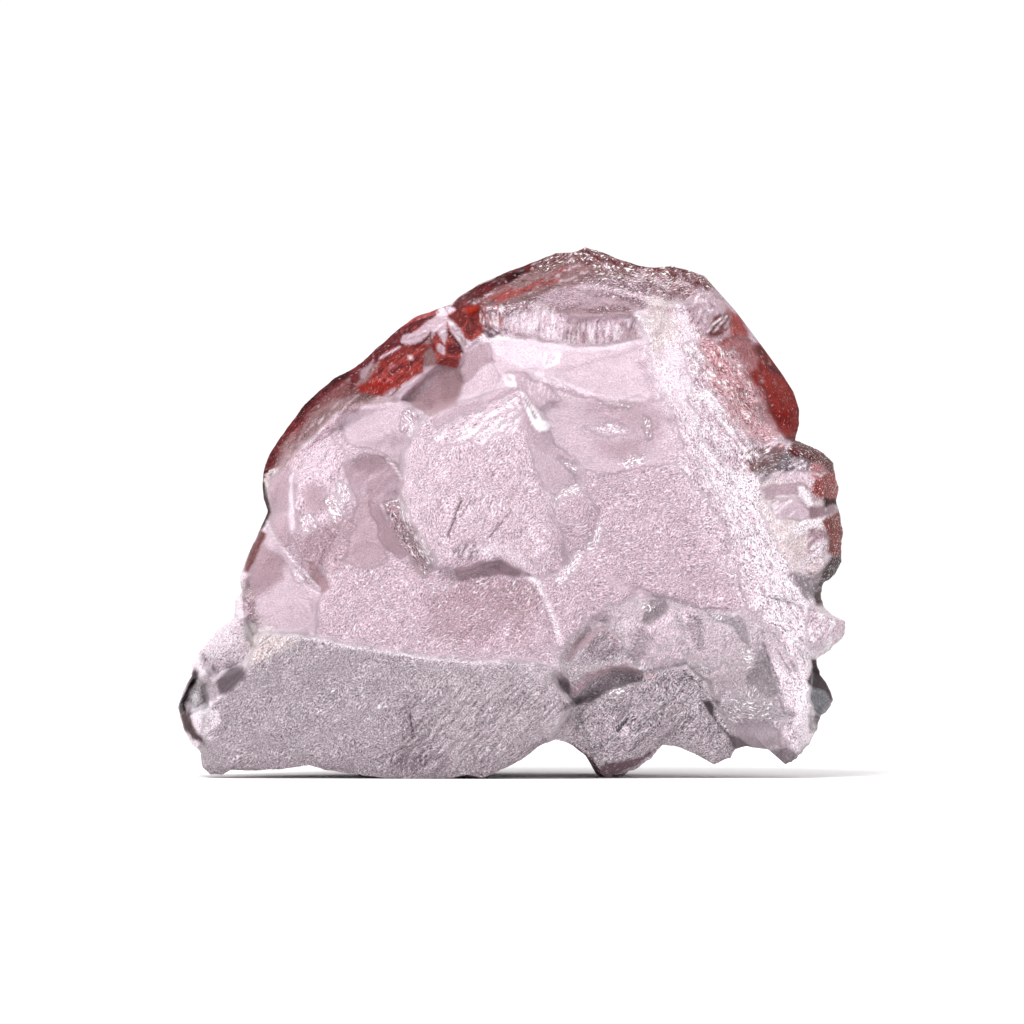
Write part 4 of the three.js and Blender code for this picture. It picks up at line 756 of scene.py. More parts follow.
# %% The red face and the vein
MARKS += [
    # red face
    patch("mauve ground left", "23.5,55 26,55 29,54.5 31,46 33,42 30,42 26.5,45.5 23,52.5", "rosy mauve",
        "speckled", run=-58, soft=1.5),
    patch("red face", "25.5,54 28,55 31.5,54 36,47.5 36,42 34,42 31.5,46.5 29,50 27.5,53 26,53", "brick",
        "skinned", run=-55, soft=0.8),
    streaks("brown top", "26,54 28,55 30,55 31,53 30.5,51 29,50", "dusty rose", -50, 0.5, 0.12, "skinned",
        soft=0.8),
    patch("deep red face", "30.5,53 34,50 36,47 36,42 34,42 31,49", "brick", "skinned", run=60, soft=1.5),
    streaks("dark edge", "29.5,54.5 30.8,54.2 34.2,49.8 33.2,50 31.5,51.5", "maroon", -50, 0.4, 0.15,
        "skinned", soft=0.6),
    streaks("scratches", "25.5,54.5 29.8,55.2 32,53 32.8,49 31,47.5", "rosy mauve", -62, 0.22, 0.72,
        soft=0.6, strength=0.6),
    streaks("glaze", "28,48 29,48 30.5,47 33,43 29.5,44.5", "rosy mauve", 40, 0.8, 0.1, "smooth", soft=1),
    patch("bright foot", "33,45.2 35.5,45.8 35.9,42.2 34.2,41.9 33.2,43.2", "red", "skinned", soft=0.9),
    streaks("red wedge", "26.9,57.8 27.6,58.4 28.6,57.8 29.6,56 29.2,55 28,55.8 27.2,56.8", "rust", -50, 0.5,
        0.05, "skinned", soft=0.3),
    streaks("pink rim over the red face", "25,61.5 28.8,58 31.8,53.8 30.2,54.2 28.8,56.8 27.2,58.5"
        " 24.2,60.5", "dusky pink", -50, 0.4, 0.25, "skinned", soft=0.5),
    patch("ground", "21.5,60 23.5,61 25.5,60 27,58 27,56 25.5,54 23.5,55 22,57", "dusky pink", "waxy",
        soft=0.8),
    streaks("dark gaps", "24.2,55.2 25.2,57.2 27,58.2 27.5,56.5 26,54.8 24.5,54.2", "red brown", 50, 0.26,
        0.35, "skinned", soft=0.5),
    *(
        line(f"{nth} shell arc", where, 0.12, "white", soft=0.3, rise=0.1)
        for nth, where in (
            ("first", "22.9,59.6 23.5,60.2 24.5,60.4"),
            ("second", "22.4,58.6 23.1,59.4 24.2,59.4 24.9,58.9"),
            ("third", "23.1,57 23.4,58 24.1,58.5 24.8,58"),
            ("fourth", "24,56.8 24.2,57.8 24.9,58.1"),
        )
    ),
    line("first slash of the arcs", "24.4,55.5 25.1,56.4 26,57.1", 0.12, "snow", finish="white", soft=0.3,
        rise=0.15),
    line("second slash of the arcs", "25.2,55.5 26.8,57.4", 0.15, "white", soft=0.3, rise=0.15),
    streaks("crumbs", "21.8,57.2 23.5,57 24.5,55.8 23.5,54.5 22,55.8", "brown", 30, 0.24, 0.55, soft=0.5),
    patch("chips", "26.5,52.8 27.5,53 28.8,51.2 28,51", "milk", "painted_glinting", run=-50, soft=0.8, strength=0.6),
    streaks("red pockets", "31.8,40 32.5,41 34,42 33.8,40.8 32.8,40.1", "rust", 35, 0.3, 0.3, "skinned",
        soft=0.25),
    streaks("lips of the red pockets", "31.2,40.5 32.5,41.5 34.8,42 34.2,40.2 32.2,39.8", "milk", 30, 0.25,
        0.55, "white", soft=0.3),
    # vein
    streaks("dense white", "17.5,58.5 21,59 21.5,48.5 20.5,46.5 19,47 17.5,52", "milk", -80, 0.6, 0.15,
        "waxy", soft=1.5, strength=0.6),
    patch("warm light", "17,59.5 20,59 21,57 20.5,54 18,53 16.5,56", "warm milk", soft=2, strength=0.8),
    patch("sugar", "21.5,56 23,55 27,46 30.5,42 31.5,38 28,38 24,42 22,46", "soft pink", "speckled", run=-60,
        soft=2),
    streaks("mauve flecks", "22,54.5 24,53 32,42 31.5,38 28.5,40 25,44.5 22.5,49.5", "deep mauve", -50, 0.3,
        0.55, soft=1.2, strength=0.5),
    streaks("white flecks", "21.5,56 25,53 32,42 31.5,38 28,39 24,43 22,48", "snow", -48, 0.28, 0.6,
        soft=1.2, strength=0.7),
    streaks("long flecks", "19,46.5 23.5,47 33.5,27 36,19.5 36,9.5 33.5,4.5 32,17 23.5,34.5", "mauve", -65,
        0.34, 0.6, soft=1.5, rise=-0.2, strength=0.35),
    streaks("dark flecks", "22,42 27,38 36,22 37,12 36,4.5 33.5,6 33,14.5 30,22 26,29.5", "deep mauve", -60,
        0.26, 0.68, soft=1.2, rise=-0.15, strength=0.45),
    streaks("white threads", "21,49.5 25,47 28.5,38 35,29.5 37,19.5 37,4.5 35,4.5 33.5,17 23.5,37", "snow",
        -72, 0.3, 0.6, soft=1.5, rise=0.15, strength=0.4),
    streaks("soft left side", "18.5,46 22,43 29,27 31,19.5 28.5,21 25.5,27 19.5,41", "pink", -65, 0.5, 0.3,
        soft=2.5, strength=0.8),
]
print("marks so far:", len(MARKS))

# %% [markdown]
# The lobe that sticks out on the right is crumbly, with iron along its edge. The last marks lie where the
# vein, the red face and the crystal meet their neighbours.

# %% The right lobe
MARKS += [
    patch("beige ground", "30.5,37 33,38 37.5,39 39,36 39.5,29.5 39,26 35,24.5 31,33", "warm milk", "waxy",
        run=60, soft=2, strength=0.8),
    patch("smoky crumbs", "30,38 31,39.5 33,41 38,39 39,38 33,38 31,36.5", "grey", "crumbly", run=20,
        soft=0.8),
    streaks("dark crumbs", "31,38.8 33,40.8 35.5,40.8 37.5,39.2 35.5,38.2 33,38", "dark grey", 20, 0.3,
        0.36),
    streaks("light crumbs", "29.8,37.5 31.5,39.2 36,39.8 38.5,38.8 39,37.5 31.5,36.8", "milk", 30, 0.26, 0.6,
        soft=0.5),
    streaks("bright facet", "33,37.2 34.5,38 37,38.1 38.2,37.2 37.5,36.2 35.5,36.8 33.5,36.6", "pale pink",
        5, 0.6, 0.15, "waxy", soft=0.5, strength=0.9),
    patch("mauve facet", "30.8,36 35.8,36.8 36.8,36 35.5,35 31.5,34.5", "dusky pink", "smooth", run=5,
        soft=0.6),
    patch("lower facets", "32,34 36,35 37,33 35.5,32 33,32", "pink", "smooth", run=30, soft=0.8),
    streaks("lights of the lower facets", "31.2,34.5 34,34.9 36.5,33.5 36,31.2 33,30.8", "white", 35, 0.35,
        0.6, soft=0.5),
    line("light line of the facets", "32.8,34.9 36,35", 0.2, "white", soft=0.3),
    patch("chip", "35.5,36.1 36.1,36.2 37,35.1 37.4,34 36.8,33.5 35.6,34.9", "white", "waxy", soft=0.35,
        rise=0.4),
    streaks("pink facet beside the iron", "36.8,35.8 38.5,36.8 39.5,35.8 38.8,34.2 37.2,34.2", "dusky pink",
        30, 0.35, 0.35, "waxy"),
    streaks("smoky pocket", "36.8,33.8 40.5,34.2 40.8,32.8 37,32", "deep mauve", 75, 0.4, 0.3, "smooth",
        soft=0.6),
    streaks("ridge", "34.5,31 36.8,32.1 40,32.8 40.8,32 35.2,30", "white", 15, 0.35, 0.35, "crumbly",
        soft=0.5, rise=0.25),
    streaks("taupe facets", "36.8,30.8 38.8,31 39.8,29.5 38.8,27.5 36.8,28", "mauve", 20, 0.5, 0.4,
        soft=0.5),
    streaks("pale crumbs under the ridge", "35,28.5 37.5,29.8 40,29 39.2,26.8 36.2,26", "milk", 40, 0.35,
        0.5, "crumbly", soft=0.6, rise=0.15),
    streaks("smoky waist", "34,25.5 36.5,25 39,26 40,25 38,22 36.5,22", "grey", 60, 0.5, 0.3, "crumbly",
        soft=0.8),
    streaks("iron on the top", "34,40.5 34.8,41.8 36.2,42.2 38.2,41.6 41.2,38.8 41.2,37.2", "maroon", -30,
        0.4, 0.08, "crusty", soft=0.5),
    streaks("flecks of the iron", "34.8,41.2 38,41.2 40.5,39.2 41,37.2 38.8,37.8", "rose", -35, 0.26, 0.74),
    streaks("brownish mottles beside the iron", "36.8,39.2 38.8,39 40,37.2 38.8,36.5 37,37.2", "rose", -20,
        0.4, 0.4, soft=0.6),
    streaks("rust of the right rim", "37.2,35.5 37.8,37 39.8,38.2 41.5,37.8 41.5,34.1 39.2,34.2", "rust", 60,
        0.35, 0.2, "crusty", soft=0.5),
    streaks("bright rust of the right rim", "38.5,36.5 40.8,37.2 41,34.8 39,34.5", "rose", 40, 0.26, 0.66),
    patch("black roof of the pocket", "38.8,34.6 40.8,34.8 41,33.9 39,33.8", "dark maroon", "skin",
        soft=0.3),
    streaks("lower right rim", "38.5,31.9 40,32.9 42,33.2 42,26.8 40.2,26.6 39.2,28 39.6,29.8", "brick", 75,
        0.35, 0.15, "crusty", soft=0.5),
    streaks("brown foot", "38,23.5 38.5,25.2 39.8,27.2 42,27.9 41.8,25 40,24", "dark maroon", 50, 0.4, 0.05,
        "crusty"),
    patch("small dark cave", "37.5,23 38.8,23.6 38.9,21.1 37.6,21.2", "dark maroon", "smooth", soft=0.3,
        rise=-0.3),
    patch("crumbs of the spur", "37,22 42,20 42,17 39.5,15.5 37,16 36,19", "pink", "crumbly", run=60,
        soft=0.8),
    streaks("white flecks of the spur", "36.5,20.8 39.8,20 41,17.8 39,15.8 36.8,16.2", "snow", 60, 0.3, 0.6,
        soft=0.5),
    streaks("rosy edge of the vein", "23.5,54.5 26,54 29,51 33,43 32,42 29.5,42.5 27,45 24,52", "rosy mauve",
        -50, 0.5, 0.25, "speckled", soft=2),
    streaks("rusty flecks of the vein", "24,54.2 27.2,53 33,42.5 31.2,41 28,43.2 25.5,47.5 24,51.2",
        "dusty rose", -45, 0.28, 0.62, soft=0.6),
    streaks("white flecks beside the red face", "24,54.2 28,52.5 30,47.8 33,42.5 31.2,41 28,43.2 25.5,47.5"
        " 24,51.2", "snow", -40, 0.26, 0.72, soft=0.6),
    streaks("brown specks over the right lobe", "29,40.5 31.5,41.5 33.8,40.8 33.2,39.5 31.5,37.8 29.5,38",
        "brown", 30, 0.26, 0.5, soft=0.5),
    patch("lower facet of the grey crystal", "36.6,8 38,7.9 38.8,7 38.4,5.4 37.1,5.6", "grey", "glassy"),
]
print("marks so far:", len(MARKS))

# %% [markdown]
# ## Helpers for shapes
#
# A broken stone is mostly unevenness, so two kinds of it are made here. `rough` is soft unevenness:
# random values on the corners of a lattice, mixed smoothly, at several sizes at once. `facets` is broken
# unevenness: space is shared out among scattered centres, and each share is a small plane tilted its own
# way, which is how quartz chips look.

# %% Mixing, distances and random surfaces
RANDOM_VALUES = np.random.default_rng(11).random(8192)  # a power of two, so that & picks one of them
CORNER_FACTORS = np.array([73856093, 19349663, 83492791])  # large odd numbers set close corners apart
SEED_FACTOR, SCATTER_FACTOR = 2654435761, 1274126177
FACET_HEIGHT = 1.5  # brings the height of facets to about -1 to 1


def smooth(share):
    """0 below 0, 1 above 1, and an even S between them."""
    share = np.clip(share, 0, 1)
    return share * share * (3 - 2 * share)


def mix(start, end, share):
    """From start to end as the share goes from 0 to 1."""
    return start + (end - start) * share


def corner_value(corner, seed):
    """A fixed random value, 0 to 1, for each whole-numbered corner of space."""
    mixed = corner @ CORNER_FACTORS + seed * SEED_FACTOR
    mixed = (mixed ^ (mixed >> 13)) * SCATTER_FACTOR
    return RANDOM_VALUES[(mixed ^ (mixed >> 17)) & (len(RANDOM_VALUES) - 1)]


def noise(points, size, seed):
    """Smooth unevenness, -1 to 1: the eight lattice corners round a point, mixed by nearness."""
    scaled = points / size
    base = np.floor(scaled).astype(np.int64)
    share = smooth(scaled - base)
    total = 0
    for step in np.ndindex(2, 2, 2):
        weight = np.prod(np.where(np.array(step) == 1, share, 1 - share), axis=1)
        total = total + weight * corner_value(base + np.array(step), seed)
    return 2 * total - 1


def rough(points, size, seed, layers=3):
    """Layers of noise, each half the size and half the height of the one before, divided by their summed
    height, which keeps them between -1 and 1."""
    total_height = 2 - 2 ** (1 - layers)
    return sum(noise(points, size / 2**k, seed + k) / 2**k for k in range(layers)) / total_height


def facets(points, size, seed):
    """Broken facets: each point takes the plane of the nearest scattered centre. Gives the plane's
    height, about -1 to 1, and a random value for each facet."""
    scaled = points / size
    base = np.floor(scaled).astype(np.int64)
    best = np.full(len(points), np.inf)
    owner = base.copy()
    offset = np.zeros_like(scaled)
    for step in np.ndindex(3, 3, 3):
        corner = base + np.array(step) - 1
        centre = corner + np.stack([corner_value(corner, seed + k) for k in range(3)], axis=1)
        gap = scaled - centre
        distance = (gap**2).sum(axis=1)
        nearer = distance < best
        best = np.where(nearer, distance, best)
        owner = np.where(nearer[:, None], corner, owner)
        offset = np.where(nearer[:, None], gap, offset)
    tilt = np.stack([corner_value(owner, seed + 3 + k) for k in range(3)], axis=1) * 2 - 1
    return (offset * tilt).sum(axis=1) * FACET_HEIGHT, corner_value(owner, seed + 6)


def stretch_distance(start, end, x, z):
    """Distance in mm from (x, z) to a straight stretch: to its nearest point, `along` it by 0 to 1."""
    (x0, z0), (x1, z1) = start, end
    along = ((x - x0) * (x1 - x0) + (z - z0) * (z1 - z0)) / ((x1 - x0) ** 2 + (z1 - z0) ** 2)
    along = np.clip(along, 0, 1)
    return np.hypot(x - mix(x0, x1, along), z - mix(z0, z1, along))


def inside_distance(outline, x, z):
    """Distance in mm from (x, z) to a closed outline: more than 0 inside it, less than 0 outside. A point
    is inside if a line from it to the right crosses the outline an odd number of times."""
    sides = list(zip(outline, outline[1:] + outline[:1]))
    nearest = np.min([stretch_distance(start, end, x, z) for start, end in sides], axis=0)
    inside = np.zeros(x.shape, bool)
    for (x0, z0), (x1, z1) in sides:
        if z0 != z1:
            inside ^= ((z0 > z) != (z1 > z)) & (x < mix(x0, x1, (z - z0) / (z1 - z0)))
    return np.where(inside, nearest, -nearest)


def line_distance(path, x, z):
    """Distance in mm from (x, z) to an open line of points: the least of the distances to its
    stretches."""
    return np.min([stretch_distance(start, end, x, z) for start, end in zip(path[:-1], path[1:])], axis=0)


# %% [markdown]
# ## The grid and the rim
#
# The break and the outer skin are two sheets that share the rim. A square grid covers the broken sheet
# evenly: its square rings are read as rings of the stone, so the outermost one lies exactly on the rim.
# Going round is counted in shares of the rim's length, which puts as many points on a jagged stretch as
# it needs.

# %% Places on the sheets
CELLS = 268  # cells across the break: about 0.3 mm each
CRUMBLY_X, CRUMBLY_TOP = 24, 46  # mm; the rim is crumbly right of this and below this, under the red face
CRUMBLY_FOOT = 26  # mm; below this it is more so all round
CRUMBLY_SHARE, FOOT_SHARE = 0.45, 0.4  # how crumbly the rest is, and how much more the foot


def sheet_places(cells):
    """For each corner of a square grid from -1 to 1: its ring, which is its larger coordinate, and its
    share of the turn, which counts along the four sides of that ring."""
    steps = np.linspace(-1, 1, cells + 1)
    b, a = (grid.ravel() for grid in np.meshgrid(steps, steps, indexing="ij"))
    ring = np.maximum(abs(a), abs(b))
    safe_a, safe_b = np.where(a == 0, 1, a), np.where(b == 0, 1, b)
    sides = np.where(a > 0, 0, 4) + b / safe_a
    ends = np.where(b > 0, 2, 6) - a / safe_b
    return ring, np.where(ring == 0, 0, np.where(abs(a) >= abs(b), sides, ends) / 8)


rim_closed = np.array(RIM + RIM[:1], float)
rim_steps = np.hypot(*np.diff(rim_closed[:, :2], axis=0).T)
rim_lengths = np.concatenate([[0], np.cumsum(rim_steps)])
print("length of the rim, mm:", rim_lengths[-1].round(1))


def rim_point(turn):
    """x, z and forwardness of the rim at a share of the turn. Small chips are taken out of the straight
    edges: the rim steps inwards by fine noise, most where the stone is crumbly."""
    length = (turn % 1) * rim_lengths[-1]
    x, z, forward = (np.interp(length, rim_lengths, rim_closed[:, k]) for k in range(3))
    places = np.stack([x, forward, z], axis=1)
    crumbly = np.where(x > CRUMBLY_X, smooth((CRUMBLY_TOP - z) / 3), CRUMBLY_SHARE)
    crumbly = crumbly + smooth((CRUMBLY_FOOT - z) / 4) * FOOT_SHARE
    chips = RIM_CHIP * (0.6 * abs(noise(places, 1.6, 5)) + 0.5 * abs(noise(places, 0.7, 6)))
    reach = np.hypot(x - HEART[0], z - HEART[2])
    share = 1 - crumbly * chips / reach
    return HEART[0] + (x - HEART[0]) * share, HEART[2] + (z - HEART[2]) * share, forward


def outline_reach(outline, dx, dz):
    """How far a closed outline lies from the heart along each direction (dx, dz): the ray is cut with
    every side, and the cut that falls on the side counts."""
    reach = np.zeros(dx.shape)
    for (x0, z0), (x1, z1) in zip(outline, outline[1:] + outline[:1]):
        cross = dx * (z1 - z0) - dz * (x1 - x0)
        cross = np.where(abs(cross) < 1e-12, 1e-12, cross)  # a ray along the side is let past
        radius = ((x0 - HEART[0]) * (z1 - z0) - (z0 - HEART[2]) * (x1 - x0)) / cross
        along = ((x0 - HEART[0]) * dz - (z0 - HEART[2]) * dx) / cross
        reach = np.where((radius > 0) & (along > -1e-6) & (along < 1 + 1e-6), radius, reach)
    return reach

# %% [markdown]
# ## The break
#
# The break is laid from the two tables, like paint. Inside its outline each plate takes over the depth,
# the colour and the finish from those before it. Marks then cut or raise single cracks, ledges and chips,
# and stain the iron-red parts.

# %% Laying plates and marks
STREAK_CRISPNESS = 3.5  # how sharply a broken mark's streaks end
STREAK_DEPTH = 0.2  # how much of the depth counts: enough to end the smears down steep sides
STREAK_SHORTENING = 0.16  # streaks are about six times as long as they are wide
EDGE_SEED, STREAK_SEED = 40, 60  # the first of the marks' random edges and streaks
PLATE_MARGIN, MARK_MARGIN = 5, 2  # mm round an outline that its soft edge may reach
GROUND_TINT, GROUND_FINISH = "milk", "sugary"  # where no plate says otherwise
WANDER_SIZE, WANDER = 2.6, 0.35  # mm, how the outlines of the plates wander
NICK_SIZE, NICK = 0.9, 0.16  # mm, the small nicks in them


def linear(colour):
    """An sRGB hex colour as linear red, green and blue."""
    value = np.array([int(colour[k : k + 2], 16) for k in (0, 2, 4)]) / 255
    return np.where(value <= 0.04045, value / 12.92, ((value + 0.055) / 1.055) ** 2.4)


def turned(points, run):
    """The points turned about the y axis, so that their first number counts along a run at `run`
    degrees."""
    angle = np.radians(run)
    x, y, z = points.T
    across, up = np.cos(angle), np.sin(angle)
    return np.stack([x * across + z * up, z * across - x * up, y], axis=1)


def flow_of(places, runs):
    """Each place turned so that its first number counts along the grain that runs there."""
    flow = np.zeros_like(places)
    for angle in np.unique(runs):
        here = runs == angle
        flow[here] = turned(places[here], angle)
    return flow


def near(outline, x, z, margin):
    """Which places lie in the box round an outline or line, with a margin of so many mm."""
    (left, low), (right, high) = np.min(outline, axis=0) - margin, np.max(outline, axis=0) + margin
    return (x > left) & (x < right) & (z > low) & (z < high)


def lay_plates(x, z):
    """Forwardness, colour, run and finish of the break: the plates in order, each mixed in over its edge.
    Its plane is forward + right * x + up * z from its own point, plus a swelling that grows with the
    distance inside."""
    flat = np.stack([x, np.zeros_like(x), z], axis=1)
    wander_x, wander_z = (
        WANDER * noise(flat, WANDER_SIZE, seed) + NICK * noise(flat, NICK_SIZE, seed + 1)
        for seed in (21, 23)
    )
    forward = BREAK_FORWARD - BREAK_LEAN * (z - BREAK_LEVEL)
    tint = np.tile(linear(PALETTE[GROUND_TINT]), (len(x), 1))
    run = np.zeros_like(x)
    finish = np.tile(np.array(FINISHES[GROUND_FINISH], float), (len(x), 1))
    for slab in PLATES:
        here = near(slab["outline"], x, z, PLATE_MARGIN)
        at_x, at_z = x[here], z[here]
        ragged_x, ragged_z = at_x + slab["ragged"] * wander_x[here], at_z + slab["ragged"] * wander_z[here]
        depth_inside = inside_distance(slab["outline"], ragged_x, ragged_z)
        swell = slab["bulge"] * (1 - (1 - np.clip(depth_inside / BULGE_WIDTH, 0, 1)) ** 2)
        from_x, from_z = at_x - slab["at"][0], at_z - slab["at"][1]
        plane = slab["forward"] + slab["right"] * from_x + slab["up"] * from_z
        forward[here] = mix(forward[here], plane + swell, smooth(depth_inside / slab["edge"] + 0.5))
        share = smooth(depth_inside / slab["paint"] + 0.5)[:, None]
        tint[here] = mix(tint[here], linear(PALETTE[slab["tint"]]), share)
        finish[here] = mix(finish[here], np.array(FINISHES[slab["finish"]], float), share)
        run[here] = np.where(depth_inside > 0, slab["run"], run[here])
    return forward, tint, run, finish


def lay_marks(x, z, ground, forward, tint, run, finish):
    """Marks in order. How far a place is inside the mark gives the share of the mark that it takes, and
    streaks of noise, long along the run, break that share up. A finish that is laid unbroken turns the
    grain to the mark's own run. Streaks are cut through space at the surface's own depth, `ground`, so
    that they don't smear down the steep sides."""
    for order, mark in enumerate(MARKS):
        here = near(mark["path"], x, z, MARK_MARGIN)
        at_x, at_z = x[here], z[here]
        spots = np.stack([at_x, -STREAK_DEPTH * ground[here], at_z], axis=1)
        if mark["width"] > 0:
            depth_inside = mark["width"] / 2 - line_distance(mark["path"], at_x, at_z)
        else:
            wander = (0.1 + 0.4 * mark["soft"]) * noise(spots, 1.3, EDGE_SEED + order)
            depth_inside = inside_distance(mark["path"], at_x, at_z) + wander
        share = smooth(depth_inside / mark["soft"] + 0.5)
        if mark["broken"] > 0:
            drawn_out = turned(spots, mark["run"]) * [STREAK_SHORTENING, 1, 1]
            stripes = rough(drawn_out, mark["streak"], STREAK_SEED + order)
            share = share * smooth((stripes + 1 - 2 * mark["broken"]) * STREAK_CRISPNESS + 0.5)
        forward[here] += mark["rise"] * share
        if mark["tint"]:
            strength = (share * mark["strength"])[:, None]
            tint[here] = mix(tint[here], linear(PALETTE[mark["tint"]]), strength)
        if mark["finish"]:
            finish[here] = mix(finish[here], np.array(FINISHES[mark["finish"]], float), share[:, None])
        if mark["finish"] and mark["run"] and not mark["broken"]:
            run[here] = np.where(depth_inside > 0, mark["run"], run[here])
    return forward, tint, run, finish


# %% The broken sheet
SWELLS, LUMPS, SHELLS, RIDGES, CHIPS = 5, 1.1, 1.6, 0.9, 1.2  # mm, sizes of the unevenness


def unevenness(places, run, finish):
    """How far, in mm, the surface stands out from its plates: soft swells and lumps, shell-shaped facets
    where it is clear or skinned, and ridges and chips, drawn out along the grain, where it is fibrous or
    grainy."""
    grain, fibre, _, clear, skin, _ = finish.T
    flow = flow_of(places, run)
    return (
        0.22 * rough(places, SWELLS, 1)
        + (0.05 + 0.06 * grain) * rough(places, LUMPS, 2)
        + 0.22 * np.maximum(clear, skin) * facets(places, SHELLS, 3)[0]
        + (0.08 * grain + 0.25 * fibre) * rough(flow * [0.25, 1, 1], RIDGES, 4)
        + 0.05 * grain * facets(flow * [0.5, 1, 1], CHIPS, 6)[0]
    )


def break_sheet():
    """The front: each grid corner lies at its share of the way from the heart to the rim. Its depth is
    that of the plates and marks and their unevenness, and it rolls round into the rim over the last few
    mm."""
    ring, turn = sheet_places(CELLS)
    rim_x, rim_z, rim_forward = rim_point(turn)
    x, z = mix(HEART[0], rim_x, ring), mix(HEART[2], rim_z, ring)
    from_rim = (1 - ring) * np.hypot(rim_x - HEART[0], rim_z - HEART[2])
    roll = 1 - (1 - np.clip(from_rim / ROLL_WIDTH, 0, 1)) ** 2
    forward, tint, run, finish = lay_plates(x, z)
    ground = mix(rim_forward, forward, roll)
    forward, tint, run, finish = lay_marks(x, z, ground, forward, tint, run, finish)
    uneven = unevenness(np.stack([x, -forward, z], axis=1), run, finish)
    forward = mix(rim_forward, forward + uneven, roll)
    return np.stack([x, -forward, z], axis=1), tint, run, finish, ring, turn


front, front_tint, front_run, front_finish, ring, turn = break_sheet()
print("break:", len(front), "points, forward to", (-front[:, 1].min()).round(1), "mm")

# %% [markdown]
# ## The grown outside
#
# Behind the rim the stone keeps the faces it grew or parted with: flat, finely lined and stained by iron.
# Each point of this sheet is found along a ray from the heart, which stops at whatever it meets first,
# the wall or a natural face. A soft minimum wears the edges between the faces round by about half a
# millimetre.

# %% The outer sheet
EDGE_WEAR = 0.5  # mm
RING_BANDS = [(2, 24, 0.40), (4, 40, 0.92), (8, 14, 0.985)]  # rim points per point, rings, share reached
RAY_STEPS, RAY_STEP = 14, 0.7  # a ray's reach is moved 0.7 of the way to the wall, 14 times over
FAR, GRAZING = 500, 0.02  # mm, for a face that a ray misses, and how squarely it has to meet one
PIT_DEPTH, LEDGE_HEIGHT, CHIP_HEIGHT = 0.5, 0.9, 0.35  # mm, the wear of the outside


def soft_min(values, width):
    """The least of several distances, with the corners between them rounded over the width."""
    least = values.min(axis=0)
    return least - width * np.log(np.exp(-(values - least) / width).sum(axis=0))


def outer_sheet(share, turn):
    """Points of the outside, in the direction `turn` of the rim. The share runs from 0 at the rim to 1
    straight behind the heart, and turns the ray from the rim to the back. Each point lies at heart + ray
    * reach, where the reach is the least of those to the wall and to the natural faces."""
    rim_x, rim_z, rim_forward = rim_point(turn)
    dx, dz = rim_x - HEART[0], rim_z - HEART[2]
    rim_reach = np.hypot(dx, dz)
    dx, dz = dx / rim_reach, dz / rim_reach
    girdle_reach = outline_reach(GIRDLE, dx, dz)
    angle = np.arctan2(rim_reach, -rim_forward - HEART[1]) * (1 - share)
    ray = np.stack([dx * np.sin(angle), np.cos(angle), dz * np.sin(angle)], axis=1)
    lean = WALL_LEAN * np.clip(0.75 + dz, 0, 1)  # the foot doesn't draw in, so that the stone stands
    reach = rim_reach / np.maximum(np.sin(angle), 0.3)
    for _ in range(RAY_STEPS):
        behind = HEART[1] + reach * np.cos(angle) + rim_forward
        wall = mix(rim_reach, girdle_reach, smooth(behind / GIRDLE_DEPTH))
        wall = wall - lean * np.clip(behind, 0, 2 * BACK_REACH)
        reach = mix(reach, wall / np.maximum(np.sin(angle), 0.05), RAY_STEP)
    cuts = [reach]
    for face in NATURAL_FACES:
        looks = np.array(face["looks"], float)
        facing = ray @ (looks / np.linalg.norm(looks))
        cuts.append(np.where(facing > GRAZING, face["distance"] / np.maximum(facing, GRAZING), FAR))
    reach = soft_min(np.array(cuts), EDGE_WEAR)
    spots = HEART + ray * reach[:, None]
    away = smooth((spots[:, 1] + rim_forward) / 2)  # the unevenness starts behind the rim
    pits = PIT_DEPTH * rough(spots, 6, 71, 5)
    ledges = LEDGE_HEIGHT * facets(spots, 9, 73)[0] + CHIP_HEIGHT * facets(spots, 3.5, 75)[0]
    reach = reach + away * (pits + ledges - LEDGE_HEIGHT)  # taken off, so that the stone keeps to its box
    return HEART + ray * reach[:, None]


def ring_turns(per_point):
    """The turns of a ring that has one point for so many points of the rim."""
    return np.arange(4 * CELLS // per_point) * per_point / (4 * CELLS)


rings, start_share = [], 0.0
for per_point, count, end_share in RING_BANDS:
    for step in range(1, count + 1):
        share = mix(start_share, end_share, step / count)
        rings.append((ring_turns(per_point), share))
    start_share = end_share
outside = np.concatenate([outer_sheet(np.full(len(turns), share), turns) for turns, share in rings])
pole = outer_sheet(np.ones(1), np.zeros(1))
print("outside:", len(outside) + 1, "points")

# %% [markdown]
# ## Colour of the outside
#
# Iron came in with water along the cracks, so the skin is thickest where the stone met open space, at the
# top and on the right, and flakes off to bare milky quartz and grey below. It is laid as the stone got
# it: the quartz in facets of slightly unlike milk, a brownish film, the flaky maroon skin, rust along old
# cracks, and fresh chips.

# %% Paint the outside
FLAKE_EDGE = 7  # how sharply a layer of the outside ends
OUTSIDE_RUN = 60  # degrees, the run of its fine lines
MILK_FACETS = 6  # mm, the facets that differ in milk


def layer_share(amount):
    """How fully a layer covers each point: none below 0, all a little above it."""
    return smooth(amount * FLAKE_EDGE + 0.5)[:, None]


